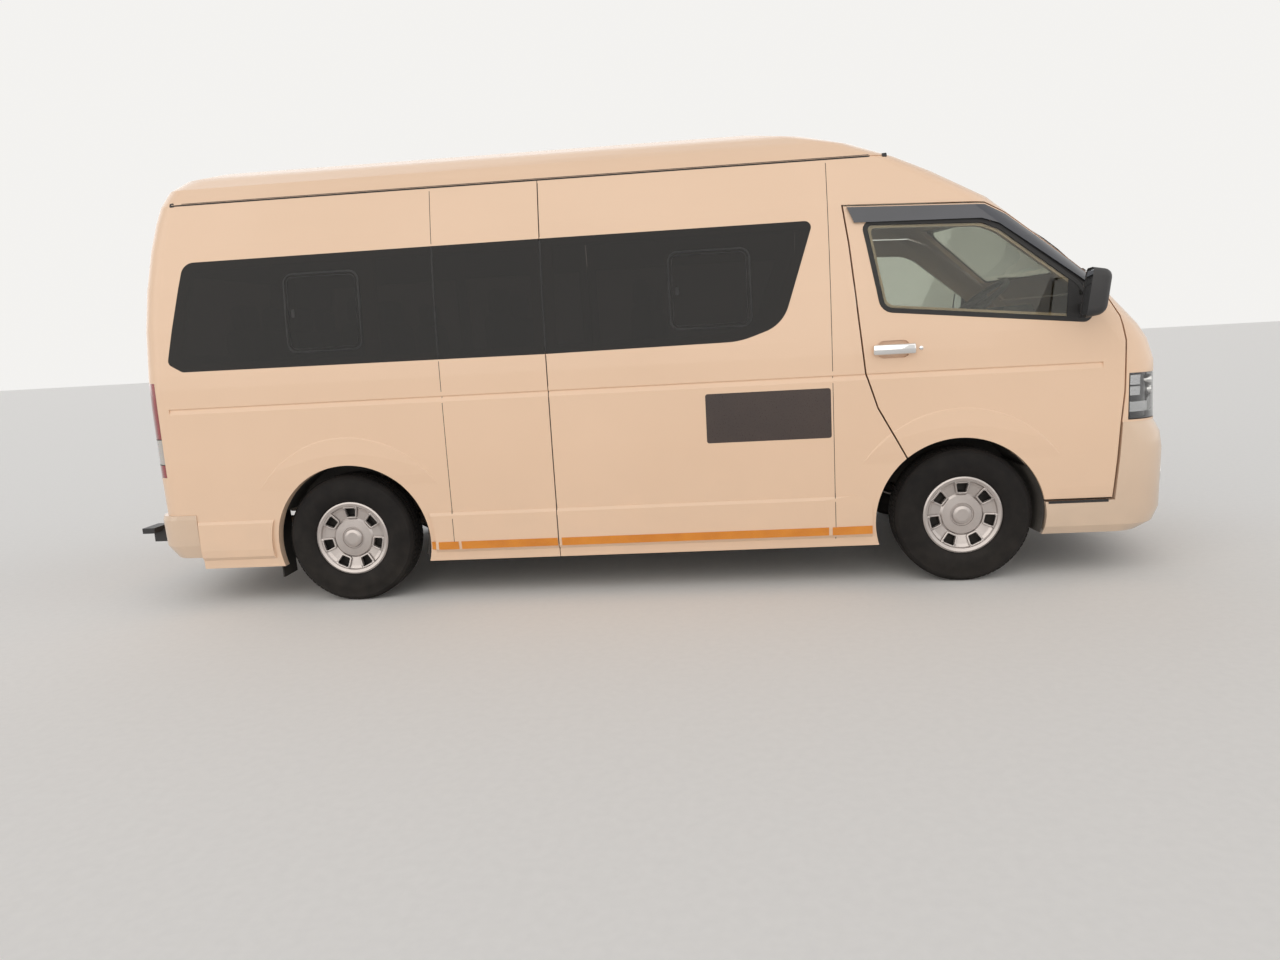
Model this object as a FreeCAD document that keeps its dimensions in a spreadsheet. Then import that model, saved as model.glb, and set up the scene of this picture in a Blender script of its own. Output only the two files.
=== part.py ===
import FreeCAD, Part
import Sketcher
import math
import os

Vec = FreeCAD.Vector
os.makedirs("parts", exist_ok=True)
doc = FreeCAD.newDocument("Minibus")

# Driving sizes in millimetres
sizes = [
    ("wheelbase", 3110), ("front_overhang", 1145), ("rear_overhang", 1125), ("tow_reach", 165),
    ("half_width", 930), ("body_height", 2285), ("sill_height", 218), ("gutter_height", 2080),
    ("front_crown", 2000), ("rear_crown", 4500), ("front_corner", 200), ("rear_corner", 130),
    ("wall", 45), ("glass", 8), ("seat_gap", 0.3), ("shut_gap", 8), ("swing_gap", 12), ("panel_gap", 4),
    ("tyre_radius", 335), ("tyre_width", 195), ("rim_radius", 192), ("front_track", 1655), ("rear_track", 1650),
    ("kingpin_half", 755), ("arch_radius", 408), ("arch_height", 315), ("arch_shift", 15),
    ("liner", 6), ("floor_height", 640), ("floor_plate", 40), ("rail_inner", 420), ("rail_width", 80),
    ("rail_depth", 100), ("spindle_radius", 22), ("bore_clear", 0.08), ("drum_radius", 130), ("drum_width", 53),
    ("hub_inset", 60), ("rim_inset", 12.5), ("arm_gauge", 25), ("post_half", 110),
    ("steer_wheel_radius", 190), ("steer_rim_gauge", 14), ("steer_wheel_y", 400), ("column_tilt", 36),
    ("flare_radius", 560), ("flare_proud", 10), ("cushion_height", 150), ("back_gauge", 130), ("ball_radius", 25),
    ("bumper_proud", 40), ("rear_bumper_proud", 22), ("visor_proud", 14), ("cover_holes", 7),
    ("door_axis_x", 700), ("door_axis_y", 915), ("bonnet_edge", 1440), ("bonnet_axis_back", 145),
    ("gate_axis_x", 2449), ("gate_axis_z", 2074), ("pin_radius", 4),
]
dims = doc.addObject("Spreadsheet::Sheet", "dims")
for row, (alias, number) in enumerate(sizes, 1):
    dims.set("A%d" % row, alias)
    dims.set("B%d" % row, str(number))
    dims.setAlias("B%d" % row, alias)
doc.recompute()


def size(alias):
    return float(dims.get(alias))


wall = size("wall")
glass = size("glass")
seat_gap = size("seat_gap")
shut_gap = size("shut_gap")
panel_gap = size("panel_gap")
half_width = size("half_width")
body_height = size("body_height")
gutter = size("gutter_height")
sill = size("sill_height")
floor_top = size("floor_height")
tyre_radius = size("tyre_radius")
arch_radius = size("arch_radius")
arch_z = size("arch_height")

# Front axle along the length, so that the whole length is centred on the origin
front_axle = (size("wheelbase") + size("rear_overhang") + size("tow_reach") - size("front_overhang")) / 2
rear_axle = front_axle - size("wheelbase")
nose = front_axle + size("front_overhang") - size("bumper_proud")
tail = rear_axle - size("rear_overhang") + size("rear_bumper_proud") - 10
front_expr = "((dims.wheelbase + dims.rear_overhang + dims.tow_reach - dims.front_overhang) / 2)"
rear_expr = "(%s - dims.wheelbase)" % front_expr


def fx(along):
    return front_axle + along


def rx(along):
    return rear_axle + along


# Body sections by height: height, nose setback, tail setback, side setback, front corner radius share
low_sections = [
    (sill - 18, 22, 38, 25, 1.0),
    (454, 10, 8, 6, 1.0),
    (760, 4, 2, 0, 1.0),
    (1050, 12, 0, 0, 1.0),
    (1150, 45, 2, 0, 1.0),
    (1222, 92, 5, 1, 1.0),
    (1455, 305, 22, 11, 0.85),
    (1660, 555, 48, 31, 0.75),
    (1860, 805, 86, 60, 0.75),
    (2000, 1068, 122, 87, 0.75),
]
roof_sections = [
    (body_height - 205, 1242, 150, 104, 0.75),
    (body_height - 125, 1461, 190, 148, 0.75),
    (body_height - 65, 1683, 255, 228, 0.75),
    (body_height - 23, 1915, 380, 345, 0.75),
    (body_height, 2255, 640, 540, 0.75),
]
sections = low_sections + roof_sections


def plan_wire(height, front, rear, half, corner_share, inset):
    front = front - inset
    rear = rear + inset
    half = half - inset
    ends = []
    for tip, crown, corner, way in (
        (front, size("front_crown"), size("front_corner") * corner_share, 1),
        (rear, size("rear_crown"), size("rear_corner"), -1),
    ):
        corner = max(corner - inset, 15.0)
        centre = tip - way * crown
        reach = math.sqrt((crown - corner) ** 2 - (half - corner) ** 2)
        knee = centre + way * reach
        cos_a, sin_a = reach / (crown - corner), (half - corner) / (crown - corner)
        touch = (centre + way * crown * cos_a, crown * sin_a)
        middle = (math.atan2(sin_a, cos_a) + math.pi / 2) / 2
        bulge = (knee + way * corner * math.cos(middle), half - corner + corner * math.sin(middle))
        ends.append((tip, (knee, half), bulge, touch))
    (tip_f, side_f, bulge_f, touch_f), (tip_r, side_r, bulge_r, touch_r) = ends

    def at(point, way=1):
        return Vec(point[0], way * point[1], height)

    edges = [
        Part.Arc(at(touch_f, -1), Vec(tip_f, 0, height), at(touch_f)).toShape(),
        Part.Arc(at(touch_f), at(bulge_f), at(side_f)).toShape(),
        Part.LineSegment(at(side_f), at(side_r)).toShape(),
        Part.Arc(at(side_r), at(bulge_r), at(touch_r)).toShape(),
        Part.Arc(at(touch_r), Vec(tip_r, 0, height), at(touch_r, -1)).toShape(),
        Part.Arc(at(touch_r, -1), at(bulge_r, -1), at(side_r, -1)).toShape(),
        Part.LineSegment(at(side_r, -1), at(side_f, -1)).toShape(),
        Part.Arc(at(side_f, -1), at(bulge_f, -1), at(touch_f, -1)).toShape(),
    ]
    return Part.Wire(edges)


def form(inset, picks=None, drop=0.0, first_height=None):
    """Closed body form, inset from the outer surface."""
    wires = []
    rows = sections if picks is None else [sections[i] for i in picks]
    for number, (height, front_set, rear_set, side_set, share) in enumerate(rows):
        z = height
        if number == 0 and first_height is not None:
            z = first_height
        if number == len(rows) - 1:
            z = height - drop
        wires.append(plan_wire(z, nose - front_set, tail + rear_set, half_width - side_set, share, inset))
    return Part.makeLoft(wires, True, True)


def prism(points, low, high, plane="xz"):
    """Straight prism of a side view (along Y), a front view (along X) or a plan (along Z)."""
    corners = []
    for first, second in points:
        if plane == "xz":
            corners.append(Vec(first, low, second))
        elif plane == "yz":
            corners.append(Vec(low, first, second))
        else:
            corners.append(Vec(first, second, low))
    face = Part.Face(Part.makePolygon(corners + [corners[0]]))
    way = {"xz": Vec(0, high - low, 0), "yz": Vec(high - low, 0, 0), "xy": Vec(0, 0, high - low)}[plane]
    return face.extrude(way)


def box(x0, x1, y0, y1, z0, z1):
    return Part.makeBox(x1 - x0, y1 - y0, z1 - z0, Vec(x0, y0, z0))


def drum(x, y0, y1, z, radius):
    return Part.makeCylinder(radius, y1 - y0, Vec(x, y0, z), Vec(0, 1, 0))


def grown(points, step):
    """An outline with straight sides moved outward by step, corner by corner."""
    area = sum(a[0] * b[1] - b[0] * a[1] for a, b in zip(points, points[1:] + points[:1]))
    turn = 1 if area > 0 else -1
    moved = []
    for number, (along, up) in enumerate(points):
        back, ahead = points[number - 1], points[(number + 1) % len(points)]
        first = Vec(up - back[1], back[0] - along, 0).normalize() * turn
        second = Vec(ahead[1] - up, along - ahead[0], 0).normalize() * turn
        reach = (first + second) * (step / (1 + first.dot(second)))
        moved.append((along + reach.x, up + reach.y))
    return moved


def soft_slab(way, points, radii, step=0.0):
    """One side's prism of a side view whose corners are rounded one by one; a radius of 0 stays sharp."""
    low, high = (-far, -300.0) if way < 0 else (300.0, far)
    points = grown(points, step)
    turns = []
    for number, ((along, up), radius) in enumerate(zip(points, radii)):
        corner = Vec(along, low, up)
        back = Vec(points[number - 1][0], low, points[number - 1][1]).sub(corner).normalize()
        other = points[(number + 1) % len(points)]
        ahead = Vec(other[0], low, other[1]).sub(corner).normalize()
        half = back.getAngle(ahead) / 2
        radius = radius + step if radius else 0
        reach = radius / math.tan(half)
        middle = (back + ahead).normalize() * (radius / math.sin(half) - radius)
        turns.append((corner + back * reach, corner + middle, corner + ahead * reach, radius))
    edges = []
    for (first, middle, last, radius), (start, *_) in zip(turns, turns[1:] + turns[:1]):
        if radius:
            edges.append(Part.Arc(first, middle, last).toShape())
        edges.append(Part.LineSegment(last, start).toShape())
    return Part.Face(Part.Wire(edges)).extrude(Vec(0, high - low, 0))


def keep(name, shape):
    piece = doc.addObject("Part::Feature", name)
    piece.Label = name
    piece.Shape = shape
    pieces.append(piece)
    return piece


pieces = []
far = 1400.0
sides = (("right", -1), ("left", 1))

outer = form(0)
inner = form(wall, [0, 3, 5, 6, 8, 9, 11, 13], wall - 5, sill - 60)
shell = outer.cut(inner)
glass_core = form(glass)
seat_core = form(glass + seat_gap)
glass_skin = outer.cut(glass_core)
recess_skin = form(-5).cut(seat_core)
cabin = form(wall + seat_gap, [0, 3, 5, 6, 8, 9, 11, 13], wall - 5, sill - 40)


pin_radius = size("pin_radius")
pin_bore = pin_radius + size("bore_clear")


def nose_setback(height):
    """How far the nose lies behind its foremost point at a height."""
    for (z0, set0, *_), (z1, set1, *_) in zip(sections, sections[1:]):
        if z0 <= height <= z1:
            return set0 + (set1 - set0) * (height - z0) / (z1 - z0)


def side_slab(way, points):
    low, high = (-far, -300.0) if way < 0 else (300.0, far)
    return prism(points, low, high)


# Side-view outlines, along the body from the front axle and up from the ground
door_line = [
    (fx(-547), 1848), (fx(110), 1822), (fx(215), 1772), (fx(592), 1470), (fx(650), 1385), (fx(718), 1262),
    (fx(739), 1149), (fx(739), 910), (fx(726), 765), (fx(716), 587), (fx(700), 400), (fx(300), 400),
    (fx(-240), 590), (fx(-264), 631), (fx(-403), 887), (fx(-459), 1059), (fx(-488), 1328), (fx(-523), 1674),
]
door_opening = grown(door_line, shut_gap)
door_window_radii = (45, 200, 250, 120, 40, 30, 70)
door_window = [
    (fx(-455), 1765), (fx(90), 1742), (fx(172), 1705), (fx(520), 1428), (fx(590), 1330), (fx(572), 1252),
    (fx(-375), 1352),
]
visor_line = [
    (fx(-532), 1842), (fx(105), 1815), (fx(205), 1765), (fx(570), 1474), (fx(560), 1430), (fx(165), 1725),
    (fx(88), 1752), (fx(-500), 1768),
]
seam_middle = fx(-2015)
front_glass_line = [
    (fx(-690), 1792), (seam_middle, 1792), (seam_middle, 1232), (fx(-1060), 1240), (fx(-850), 1310),
]
front_glass_radii = (30, 0, 0, 400, 180)
rear_glass_line = [
    (seam_middle - panel_gap, 1792), (fx(-3850), 1787), (fx(-3975), 1285), (fx(-3900), 1240),
    (seam_middle - panel_gap, 1232),
]
rear_glass_radii = (0, 70, 30, 40, 0)
slider_front = fx(-620)
slider_line = [
    (slider_front - panel_gap, 1990), (seam_middle + panel_gap, 1990), (seam_middle + panel_gap, 306),
    (slider_front - panel_gap, 306),
]
front_edge = fx(-547)


def arch(way, centre):
    low, high = (-far, -500.0) if way < 0 else (500.0, far)
    return drum(centre, low, high, arch_z, arch_radius)


front_arch_x = fx(-size("arch_shift"))
rear_arch_x = rx(size("arch_shift"))
flare_radius, flare_proud = size("flare_radius"), size("flare_proud")


def flare(way, centre):
    """Wheel arch swelling: a crease, a slope up to the lip of the opening, and a fade towards the sill."""
    root, crest = half_width - 5, half_width + 0.4 * flare_proud
    out = Vec(0, way, 0)
    edge = Part.makeCone(flare_radius + 2, flare_radius - 12, crest - root, Vec(centre, way * root, arch_z), out)
    slope = Part.makeCone(flare_radius - 12, arch_radius - 12, 0.6 * flare_proud, Vec(centre, way * crest, arch_z), out)
    fade = [(900, 600), (926, 600), (932, 660), (936, 740), (939, 830), (half_width + flare_proud + 2, 930),
            (half_width + flare_proud + 2, 1000), (900, 1000)]
    fade = prism([(way * across, up) for across, up in fade], centre - 700, centre + 700, "yz")
    return edge.fuse(slope).common(fade).cut(arch(way, centre))


def waist_groove(way):
    return prism([(way * 932, 1056), (way * 922, 1048), (way * 932, 1018)], fx(-4000), fx(640), "yz")


def sill_ledge(way):
    section = [(905, 240), (925, 262), (931, 300), (932, 440), (926, 456), (900, 456)]
    ledge = prism([(way * across, up) for across, up in section], fx(-3926), fx(-440), "yz")
    plan = [(fx(-3926), 800), (fx(-3926), 933), (fx(-700), 933), (fx(-440), 922), (fx(-440), 800)]
    ledge = ledge.common(prism([(along, way * across) for along, across in plan], 200, 500, "xy"))
    return ledge.cut(drum(rear_arch_x, -far, far, arch_z, arch_radius + 30))


above_gutter = box(tail - 100, nose + 100, -far, far, gutter, body_height + 50)

# Roof above the gutter, one pressing
roof = shell.common(above_gutter)
drip_rail = recess_skin.common(box(fx(-3900), fx(-330), -far, far, gutter, gutter + 14))
roof = roof.fuse(drip_rail)

# Windscreen, bonnet and tailgate outlines in the front and rear views
screen_view = [(-770, 1482), (-748, 1600), (-690, 1880), (690, 1880), (748, 1600), (770, 1482)]
bonnet_view = [(-640, 1010), (-700, 1180), (-735, 1440), (-735, 1520), (735, 1520), (735, 1440), (700, 1180),
               (640, 1010)]
screen_cut = prism(screen_view, fx(200), nose + 60, "yz")
screen_glass = prism(grown(screen_view, -seat_gap), fx(200), nose + 60, "yz")
screen_open = prism(grown(screen_view, -28), fx(0), nose + 60, "yz")
# The bonnet's rear edge is upright and follows the crown of the nose, so that it lifts straight off
bonnet_edge = size("bonnet_edge")
crown = size("front_crown")
edge_tip = nose - nose_setback(bonnet_edge)


def edge_drum(step):
    return Part.makeCylinder(crown + step, 800, Vec(edge_tip - crown, 0, 900))


bonnet_cut = prism(grown(bonnet_view, shut_gap), fx(500), nose + 60, "yz").cut(edge_drum(-shut_gap))
bonnet_zone = prism(bonnet_view, fx(500), nose + 60, "yz").cut(edge_drum(0))
bonnet_inner = prism(grown(bonnet_view, -40), fx(500), nose + 60, "yz").cut(edge_drum(40))
bumper_top = 494
gate_low, gate_top = bumper_top + shut_gap, gutter - shut_gap
gate_view = [(-815, gate_low), (-822, 1100), (-730, gate_top), (730, gate_top), (822, 1100), (815, gate_low)]
gate_cut = prism(grown(gate_view, shut_gap), tail - 60, rx(-700), "yz")
gate_zone = prism(gate_view, tail - 60, rx(-700), "yz")
gate_window = [(-640, 1290), (-590, 1800), (590, 1800), (640, 1290)]
gate_glass_zone = prism(grown(gate_window, -seat_gap), tail - 60, rx(-700), "yz")
gate_glass_cut = prism(gate_window, tail - 60, rx(-700), "yz")
gate_open = prism(grown(gate_window, -30), tail - 60, rx(-700), "yz")

# Nose, wings, screen pillars and header in one frame
lamp_view = [(560, 772), (560, 975), (640, 990), (far, 1000), (far, 772)]
lamp_left = prism(lamp_view, fx(735), nose + 60, "yz").common(box(fx(760), nose + 60, 0, far, 700, 1050))
lamp_right = lamp_left.mirror(Vec(0, 0, 0), Vec(0, 1, 0))
grille_view = [(-535, 790), (-535, 985), (535, 985), (535, 790)]
grille_cut = prism(grille_view, fx(900), nose + 60, "yz")
nose_low = 762 + seat_gap
front_frame = shell.common(box(front_edge, nose + 100, -far, far, nose_low, gutter))
for side, way in sides:
    front_frame = front_frame.cut(side_slab(way, door_opening))
    front_frame = front_frame.cut(side_slab(way, [
        (fx(-640), 1846), (fx(-500), 1846), (fx(-440), 1000), (fx(700), nose_low - 5), (fx(700), 600),
        (fx(-640), 600)]))
front_frame = front_frame.cut(recess_skin.common(screen_cut)).cut(screen_open).cut(bonnet_cut)
front_frame = front_frame.cut(grille_cut).cut(lamp_left).cut(lamp_right)

# Door hinges: arms on the wings reach behind the doors' front edges and carry a lug round each pin
door_axis_x, door_axis_y = fx(size("door_axis_x")), size("door_axis_y")
door_hinge_heights = (810, 1120)
hinge_half, notch_half, lug_radius = 20, 25, 8
for side, way in sides:
    for height in door_hinge_heights:
        low, high = height - hinge_half, height + hinge_half

        def across(y0, y1, x0, x1, z0=low, z1=high):
            first, second = sorted((way * y0, way * y1))
            return box(door_axis_x + x0, door_axis_x + x1, first, second, z0, z1)

        lug = across(door_axis_y - 49, door_axis_y, -lug_radius, lug_radius).fuse(
            Part.makeCylinder(lug_radius, high - low, Vec(door_axis_x, way * door_axis_y, low)))
        arm = across(door_axis_y - 49, door_axis_y - 39, -lug_radius, 59)
        pad = across(door_axis_y - 49, door_axis_y - 20, 48, 59)
        bore = Part.makeCylinder(pin_bore, high - low, Vec(door_axis_x, way * door_axis_y, low))
        front_frame = front_frame.fuse([lug, arm, pad]).cut(bore)

# Bonnet hinges: a lug on the bonnet turns on a pin across a slot in the cowl, at each rear corner
bonnet_axis = (edge_tip - size("bonnet_axis_back"), bonnet_edge)
bonnet_hinge_y, slot_half, bonnet_lug_half = 690, 12, 6
bonnet_lugs = []
for side, way in sides:
    middle = way * bonnet_hinge_y
    slot = box(bonnet_axis[0] - 14, bonnet_axis[0] + 90, middle - slot_half, middle + slot_half,
               bonnet_axis[1] - 40, bonnet_axis[1] + 90)
    pin = drum(bonnet_axis[0], middle - slot_half - 6, middle + slot_half + 6, bonnet_axis[1], pin_radius)
    front_frame = front_frame.cut(slot).fuse(pin)
    lug = drum(bonnet_axis[0], middle - bonnet_lug_half, middle + bonnet_lug_half, bonnet_axis[1], lug_radius)
    lug = lug.fuse(box(bonnet_axis[0], bonnet_axis[0] + 40, middle - bonnet_lug_half, middle + bonnet_lug_half,
                       bonnet_axis[1] - lug_radius - 12, bonnet_axis[1] - 2))
    bonnet_lugs.append(lug.cut(drum(bonnet_axis[0], middle - slot_half, middle + slot_half, bonnet_axis[1], pin_bore)))
keep("front_panel", front_frame)
screen = glass_skin.common(screen_glass)
keep("windscreen", screen)

# Bonnet with a flanged inner face
bonnet = shell.common(bonnet_zone).cut(form(20).common(bonnet_inner)).fuse(bonnet_lugs)
keep("bonnet", bonnet)

# Tailgate and its window
gate = shell.common(gate_zone).cut(recess_skin.common(gate_glass_cut)).cut(gate_open)
garnish = box(tail - 14, tail + 20, -300, 300, 888, 940)
gate = gate.fuse(garnish.makeFillet(8, [edge for edge in garnish.Edges if edge.BoundBox.XMax < tail]))

# Tailgate hinges: a lug under the roof's rear edge beside a lug on the gate, on one pin
gate_axis_x, gate_axis_z = -size("gate_axis_x"), size("gate_axis_z")
gate_lug_radius, gate_lug_width, gate_hinge_y = 9, 19, 250
for side, way in sides:
    middle = way * gate_hinge_y
    roof_lug = drum(gate_axis_x, middle - gate_lug_width - 1, middle - 1, gate_axis_z, gate_lug_radius)
    roof_lug = roof_lug.fuse(box(gate_axis_x, gate_axis_x + 40, middle - gate_lug_width - 1, middle - 1,
                                 gate_axis_z + 2, gate_axis_z + 26))
    gate_lug = drum(gate_axis_x, middle + 1, middle + gate_lug_width + 1, gate_axis_z, gate_lug_radius)
    gate_lug = gate_lug.fuse(box(gate_axis_x - 6, gate_axis_x + 26, middle + 1, middle + gate_lug_width + 1,
                                 gate_axis_z - 32, gate_axis_z - 2))
    pin = drum(gate_axis_x, middle - gate_lug_width - 1, middle + gate_lug_width + 1, gate_axis_z, pin_radius)
    clear = drum(gate_axis_x, middle - gate_lug_width - 6, middle, gate_axis_z, gate_lug_radius + 5)
    roof = roof.cut(drum(gate_axis_x, middle, middle + gate_lug_width + 6, gate_axis_z, gate_lug_radius + 5))
    roof = roof.fuse(roof_lug.cut(drum(gate_axis_x, middle - 40, middle + 40, gate_axis_z, pin_bore)))
    gate = gate.cut(clear).fuse([gate_lug, pin])
keep("roof_panel", roof)
keep("tailgate", gate)
keep("tailgate_window", glass_skin.common(gate_glass_zone))

# Front doors, windows and rain visors
visor_form = form(-size("visor_proud"))
visor_seat = form(-seat_gap)
grip_low, grip_high, grip_long = 1141, 1187, 197


def handle(way, start):
    """Pull handle of one door, from its rear end on, and the dish behind it."""
    dish = soft_slab(way, [(start + 20, 1122), (start + 20, 1206), (start + grip_long - 20, 1206),
                           (start + grip_long - 20, 1122)], (36, 36, 36, 36))
    dish = dish.common(box(start, start + grip_long, -far, far, 1100, 1250)).cut(
        box(start, start + grip_long, -half_width + 16, half_width - 16, 1100, 1250))

    def bar(x0, x1, y0, y1):
        low, high = sorted((way * (half_width + y0), way * (half_width + y1)))
        return box(start + x0, start + x1, low, high, grip_low, grip_high)

    grip = bar(0, grip_long, 16, 34)
    grip = grip.makeFillet(8, grip.Edges)
    return dish, grip.fuse([bar(5, 28, -12, 24), bar(grip_long - 28, grip_long - 5, -12, 24)])


for side, way in sides:
    panel = shell.common(side_slab(way, door_line)).cut(arch(way, front_arch_x))
    panel = panel.fuse(flare(way, front_arch_x).common(side_slab(way, door_line)))
    panel = panel.cut(recess_skin.common(soft_slab(way, door_window, door_window_radii)))
    panel = panel.cut(soft_slab(way, door_window, door_window_radii, -24)).cut(waist_groove(way))
    dish, grip = handle(way, fx(-428))
    panel = panel.cut(dish).fuse(grip)
    for height in door_hinge_heights:
        notch_y = sorted((way * (door_axis_y - 60), way * (door_axis_y + 10)))
        panel = panel.cut(box(door_axis_x - 17, door_axis_x + 60, notch_y[0], notch_y[1],
                              height - notch_half, height + notch_half))
        panel = panel.fuse(Part.makeCylinder(pin_radius, 2 * notch_half,
                                             Vec(door_axis_x, way * door_axis_y, height - notch_half)))
    keep("door_" + side, panel)
    if side == "right":
        pane = glass_skin.common(soft_slab(way, door_window, door_window_radii, -seat_gap))
    else:
        pane = pane.mirror(Vec(0, 0, 0), Vec(0, 1, 0))
    keep("door_window_" + side, pane)
    keep("visor_" + side, visor_form.cut(visor_seat).common(side_slab(way, visor_line)))

# Side walls behind the doors, with flush glass set in recesses
bumper_seam = fx(-3930)
lamp_zone = prism([(rx(-1160), 697), (rx(-1160), 1190), (rx(-955), 1190), (rx(-955), 697)], -far, far)
gate_side = box(tail - 100, rx(-900), -832, 832, 600, 1300)
lamp_zone = lamp_zone.cut(gate_side)
rear_bumper_zone = box(tail - 200, bumper_seam, -far, far, 0, bumper_top)


def wall_panel(way, outline, glass_line, glass_radii, openings, arch_x):
    panel = shell.common(side_slab(way, outline))
    panel = panel.fuse(sill_ledge(way).fuse(flare(way, arch_x)).common(side_slab(way, outline)))
    panel = panel.cut(recess_skin.common(soft_slab(way, glass_line, glass_radii)))
    for opening in openings:
        panel = panel.cut(side_slab(way, opening))
    return panel.cut(waist_groove(way)).cut(arch(way, arch_x))


front_outline = [
    (fx(-547), gutter), (fx(-547), 1848), (fx(-523), 1674), (fx(-488), 1328), (fx(-459), 1059), (fx(-403), 887),
    (fx(-264), 631), (fx(-200), 500), (fx(-200), 100), (seam_middle, 100), (seam_middle, gutter),
]
rear_start = seam_middle - panel_gap
rear_outline = [(rear_start, gutter), (rear_start, 100), (tail - 60, 100), (tail - 60, gutter)]
front_holes = [
    [(fx(-745), 1750), (fx(-1960), 1750), (fx(-1960), 1272), (fx(-1075), 1280), (fx(-900), 1340)],
]
rear_holes = [
    [(fx(-2070), 1750), (fx(-2860), 1750), (fx(-2860), 1272), (fx(-2070), 1272)],
    [(fx(-2930), 1750), (fx(-3810), 1742), (fx(-3910), 1320), (fx(-3860), 1278), (fx(-2930), 1272)],
]
door_holes = {side: side_slab(way, door_opening) for side, way in sides}
glass_parts = []
for side, way in sides:
    forward = wall_panel(way, front_outline, front_glass_line, front_glass_radii, front_holes, front_arch_x)
    forward = forward.cut(door_holes[side]).cut(front_frame)
    rearward = wall_panel(way, rear_outline, rear_glass_line, rear_glass_radii, rear_holes, rear_arch_x)
    rearward = rearward.cut(gate_cut).cut(lamp_zone).cut(rear_bumper_zone)
    front_pane = glass_skin.common(soft_slab(way, front_glass_line, front_glass_radii, -seat_gap))
    if side == "right":
        keep("side_right_front", forward)
    else:
        slider_hole = side_slab(way, grown(slider_line, panel_gap))
        keep("side_left_front", forward.cut(slider_hole))
        dish, grip = handle(way, slider_front - 261)
        keep("sliding_door", forward.common(side_slab(way, slider_line)).cut(dish).fuse(grip))
        front_pane = front_pane.common(side_slab(way, slider_line))
        # The sliding door's centre rail runs in a slot below the rear glass
        rearward = rearward.cut(box(fx(-3250), fx(-2045), half_width - 24, far, 1194, 1214))
    keep("side_%s_rear" % side, rearward)
    glass_parts.append(front_pane)
    glass_parts.append(glass_skin.common(soft_slab(way, rear_glass_line, rear_glass_radii, -seat_gap)))
keep("side_windows", Part.makeCompound(glass_parts))

# Lamps fill their pockets in the corners
head_form = form(seat_gap).cut(form(wall + 40, [0, 3, 5, 6, 8, 9, 11, 13], wall, sill - 30))
head_zone = lamp_left.common(box(fx(760) + panel_gap, nose, 0, far, 772 + panel_gap, 1000))
head = head_form.common(head_zone)
head = head.cut(bonnet_cut).cut(door_holes["left"])
keep("headlamps", Part.makeCompound([head, head.mirror(Vec(0, 0, 0), Vec(0, 1, 0))]))
tail_core = form(wall - 5, [0, 3, 5, 6, 8, 9, 11, 13], wall, sill - 30)
tail_skin = form(seat_gap).cut(tail_core)
lamp_solid = tail_skin.common(lamp_zone).common(box(tail, rx(-955) - seat_gap, -far, far, 697.5, 1189.5))
lamp_solid = lamp_solid.cut(box(tail - 100, rx(-900), -832.5, 832.5, 600, 1300))
keep("tail_lamps", lamp_solid)

# Grille: frame and bars in the nose opening
grille_skin = form(4).cut(form(34))
grille = grille_skin.common(prism(grown(grille_view, -seat_gap), fx(900), nose + 60, "yz"))
bar_pitch = 40
for number in range(4):
    low = 806 + number * bar_pitch
    grille = grille.cut(box(fx(900), nose + 60, -505, 505, low, low + 22))
keep("grille", grille)


# Bumpers follow the body, standing a little proud
def bumper_form(rows, inset):
    wires = []
    for height, front_set, rear_set, side_set in rows:
        wires.append(plan_wire(height, nose - front_set, tail + rear_set, half_width - side_set, 1.0, inset))
    return Part.makeLoft(wires, True, True)


proud = size("bumper_proud")
front_rows = [(222, 60, 60, 40), (262, -5, 30, 14), (330, 6 - proud, 0, 2), (620, -proud, 0, -2),
              (700, 12 - proud, 0, -2), (762, 6, 0, 0)]
front_bumper = bumper_form(front_rows, 0).cut(bumper_form([(200, 60, 60, 40), (300, 5 - proud, 10, 6),
                                                        (640, 5 - proud, 10, 6), (790, 5, 10, 6)], wall))
front_bumper = front_bumper.common(side_slab(-1, [
    (fx(330), 180), (fx(330), 388), (fx(690), 388), (fx(700) + shut_gap, 400), (fx(716) + shut_gap, 587),
    (fx(726) + shut_gap, 762), (nose + 100, 762), (nose + 100, 180)]).fuse(
    side_slab(1, [(fx(330), 180), (fx(330), 388), (fx(690), 388), (fx(700) + shut_gap, 400),
                  (fx(716) + shut_gap, 587), (fx(726) + shut_gap, 762), (nose + 100, 762), (nose + 100, 180)])).fuse(
    box(fx(850), nose + 100, -350, 350, 180, 762)))
for side, way in sides:
    front_bumper = front_bumper.cut(arch(way, front_arch_x))
    front_bumper = front_bumper.cut(side_slab(way, grown(door_line, size("swing_gap"))))
intake = box(fx(900), nose + 100, -480, 480, 420, 560)
front_bumper = front_bumper.cut(intake.cut(box(fx(900), nose + 100, -500, 500, 480, 500)))
keep("front_bumper", front_bumper)
rear_proud = size("rear_bumper_proud")
rear_rows = [(262, 0, 30, 22), (330, 0, 6 - rear_proud, 4), (470, 0, -rear_proud, 0), (494, 0, 8 - rear_proud, 2)]
rear_bumper = bumper_form(rear_rows, 0).cut(bumper_form([(240, 0, 30, 22), (400, 0, 0, 6), (480, 0, 0, 6)], wall))
rear_bumper = rear_bumper.common(box(tail - 200, bumper_seam, -far, far, 240, 494 - seat_gap))
for side, way in sides:
    low, high = sorted((way * 417, way * 483))
    rear_bumper = rear_bumper.cut(box(tail - 200, bumper_seam + 50, low, high, 200, 368))
keep("rear_bumper", rear_bumper)

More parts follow.
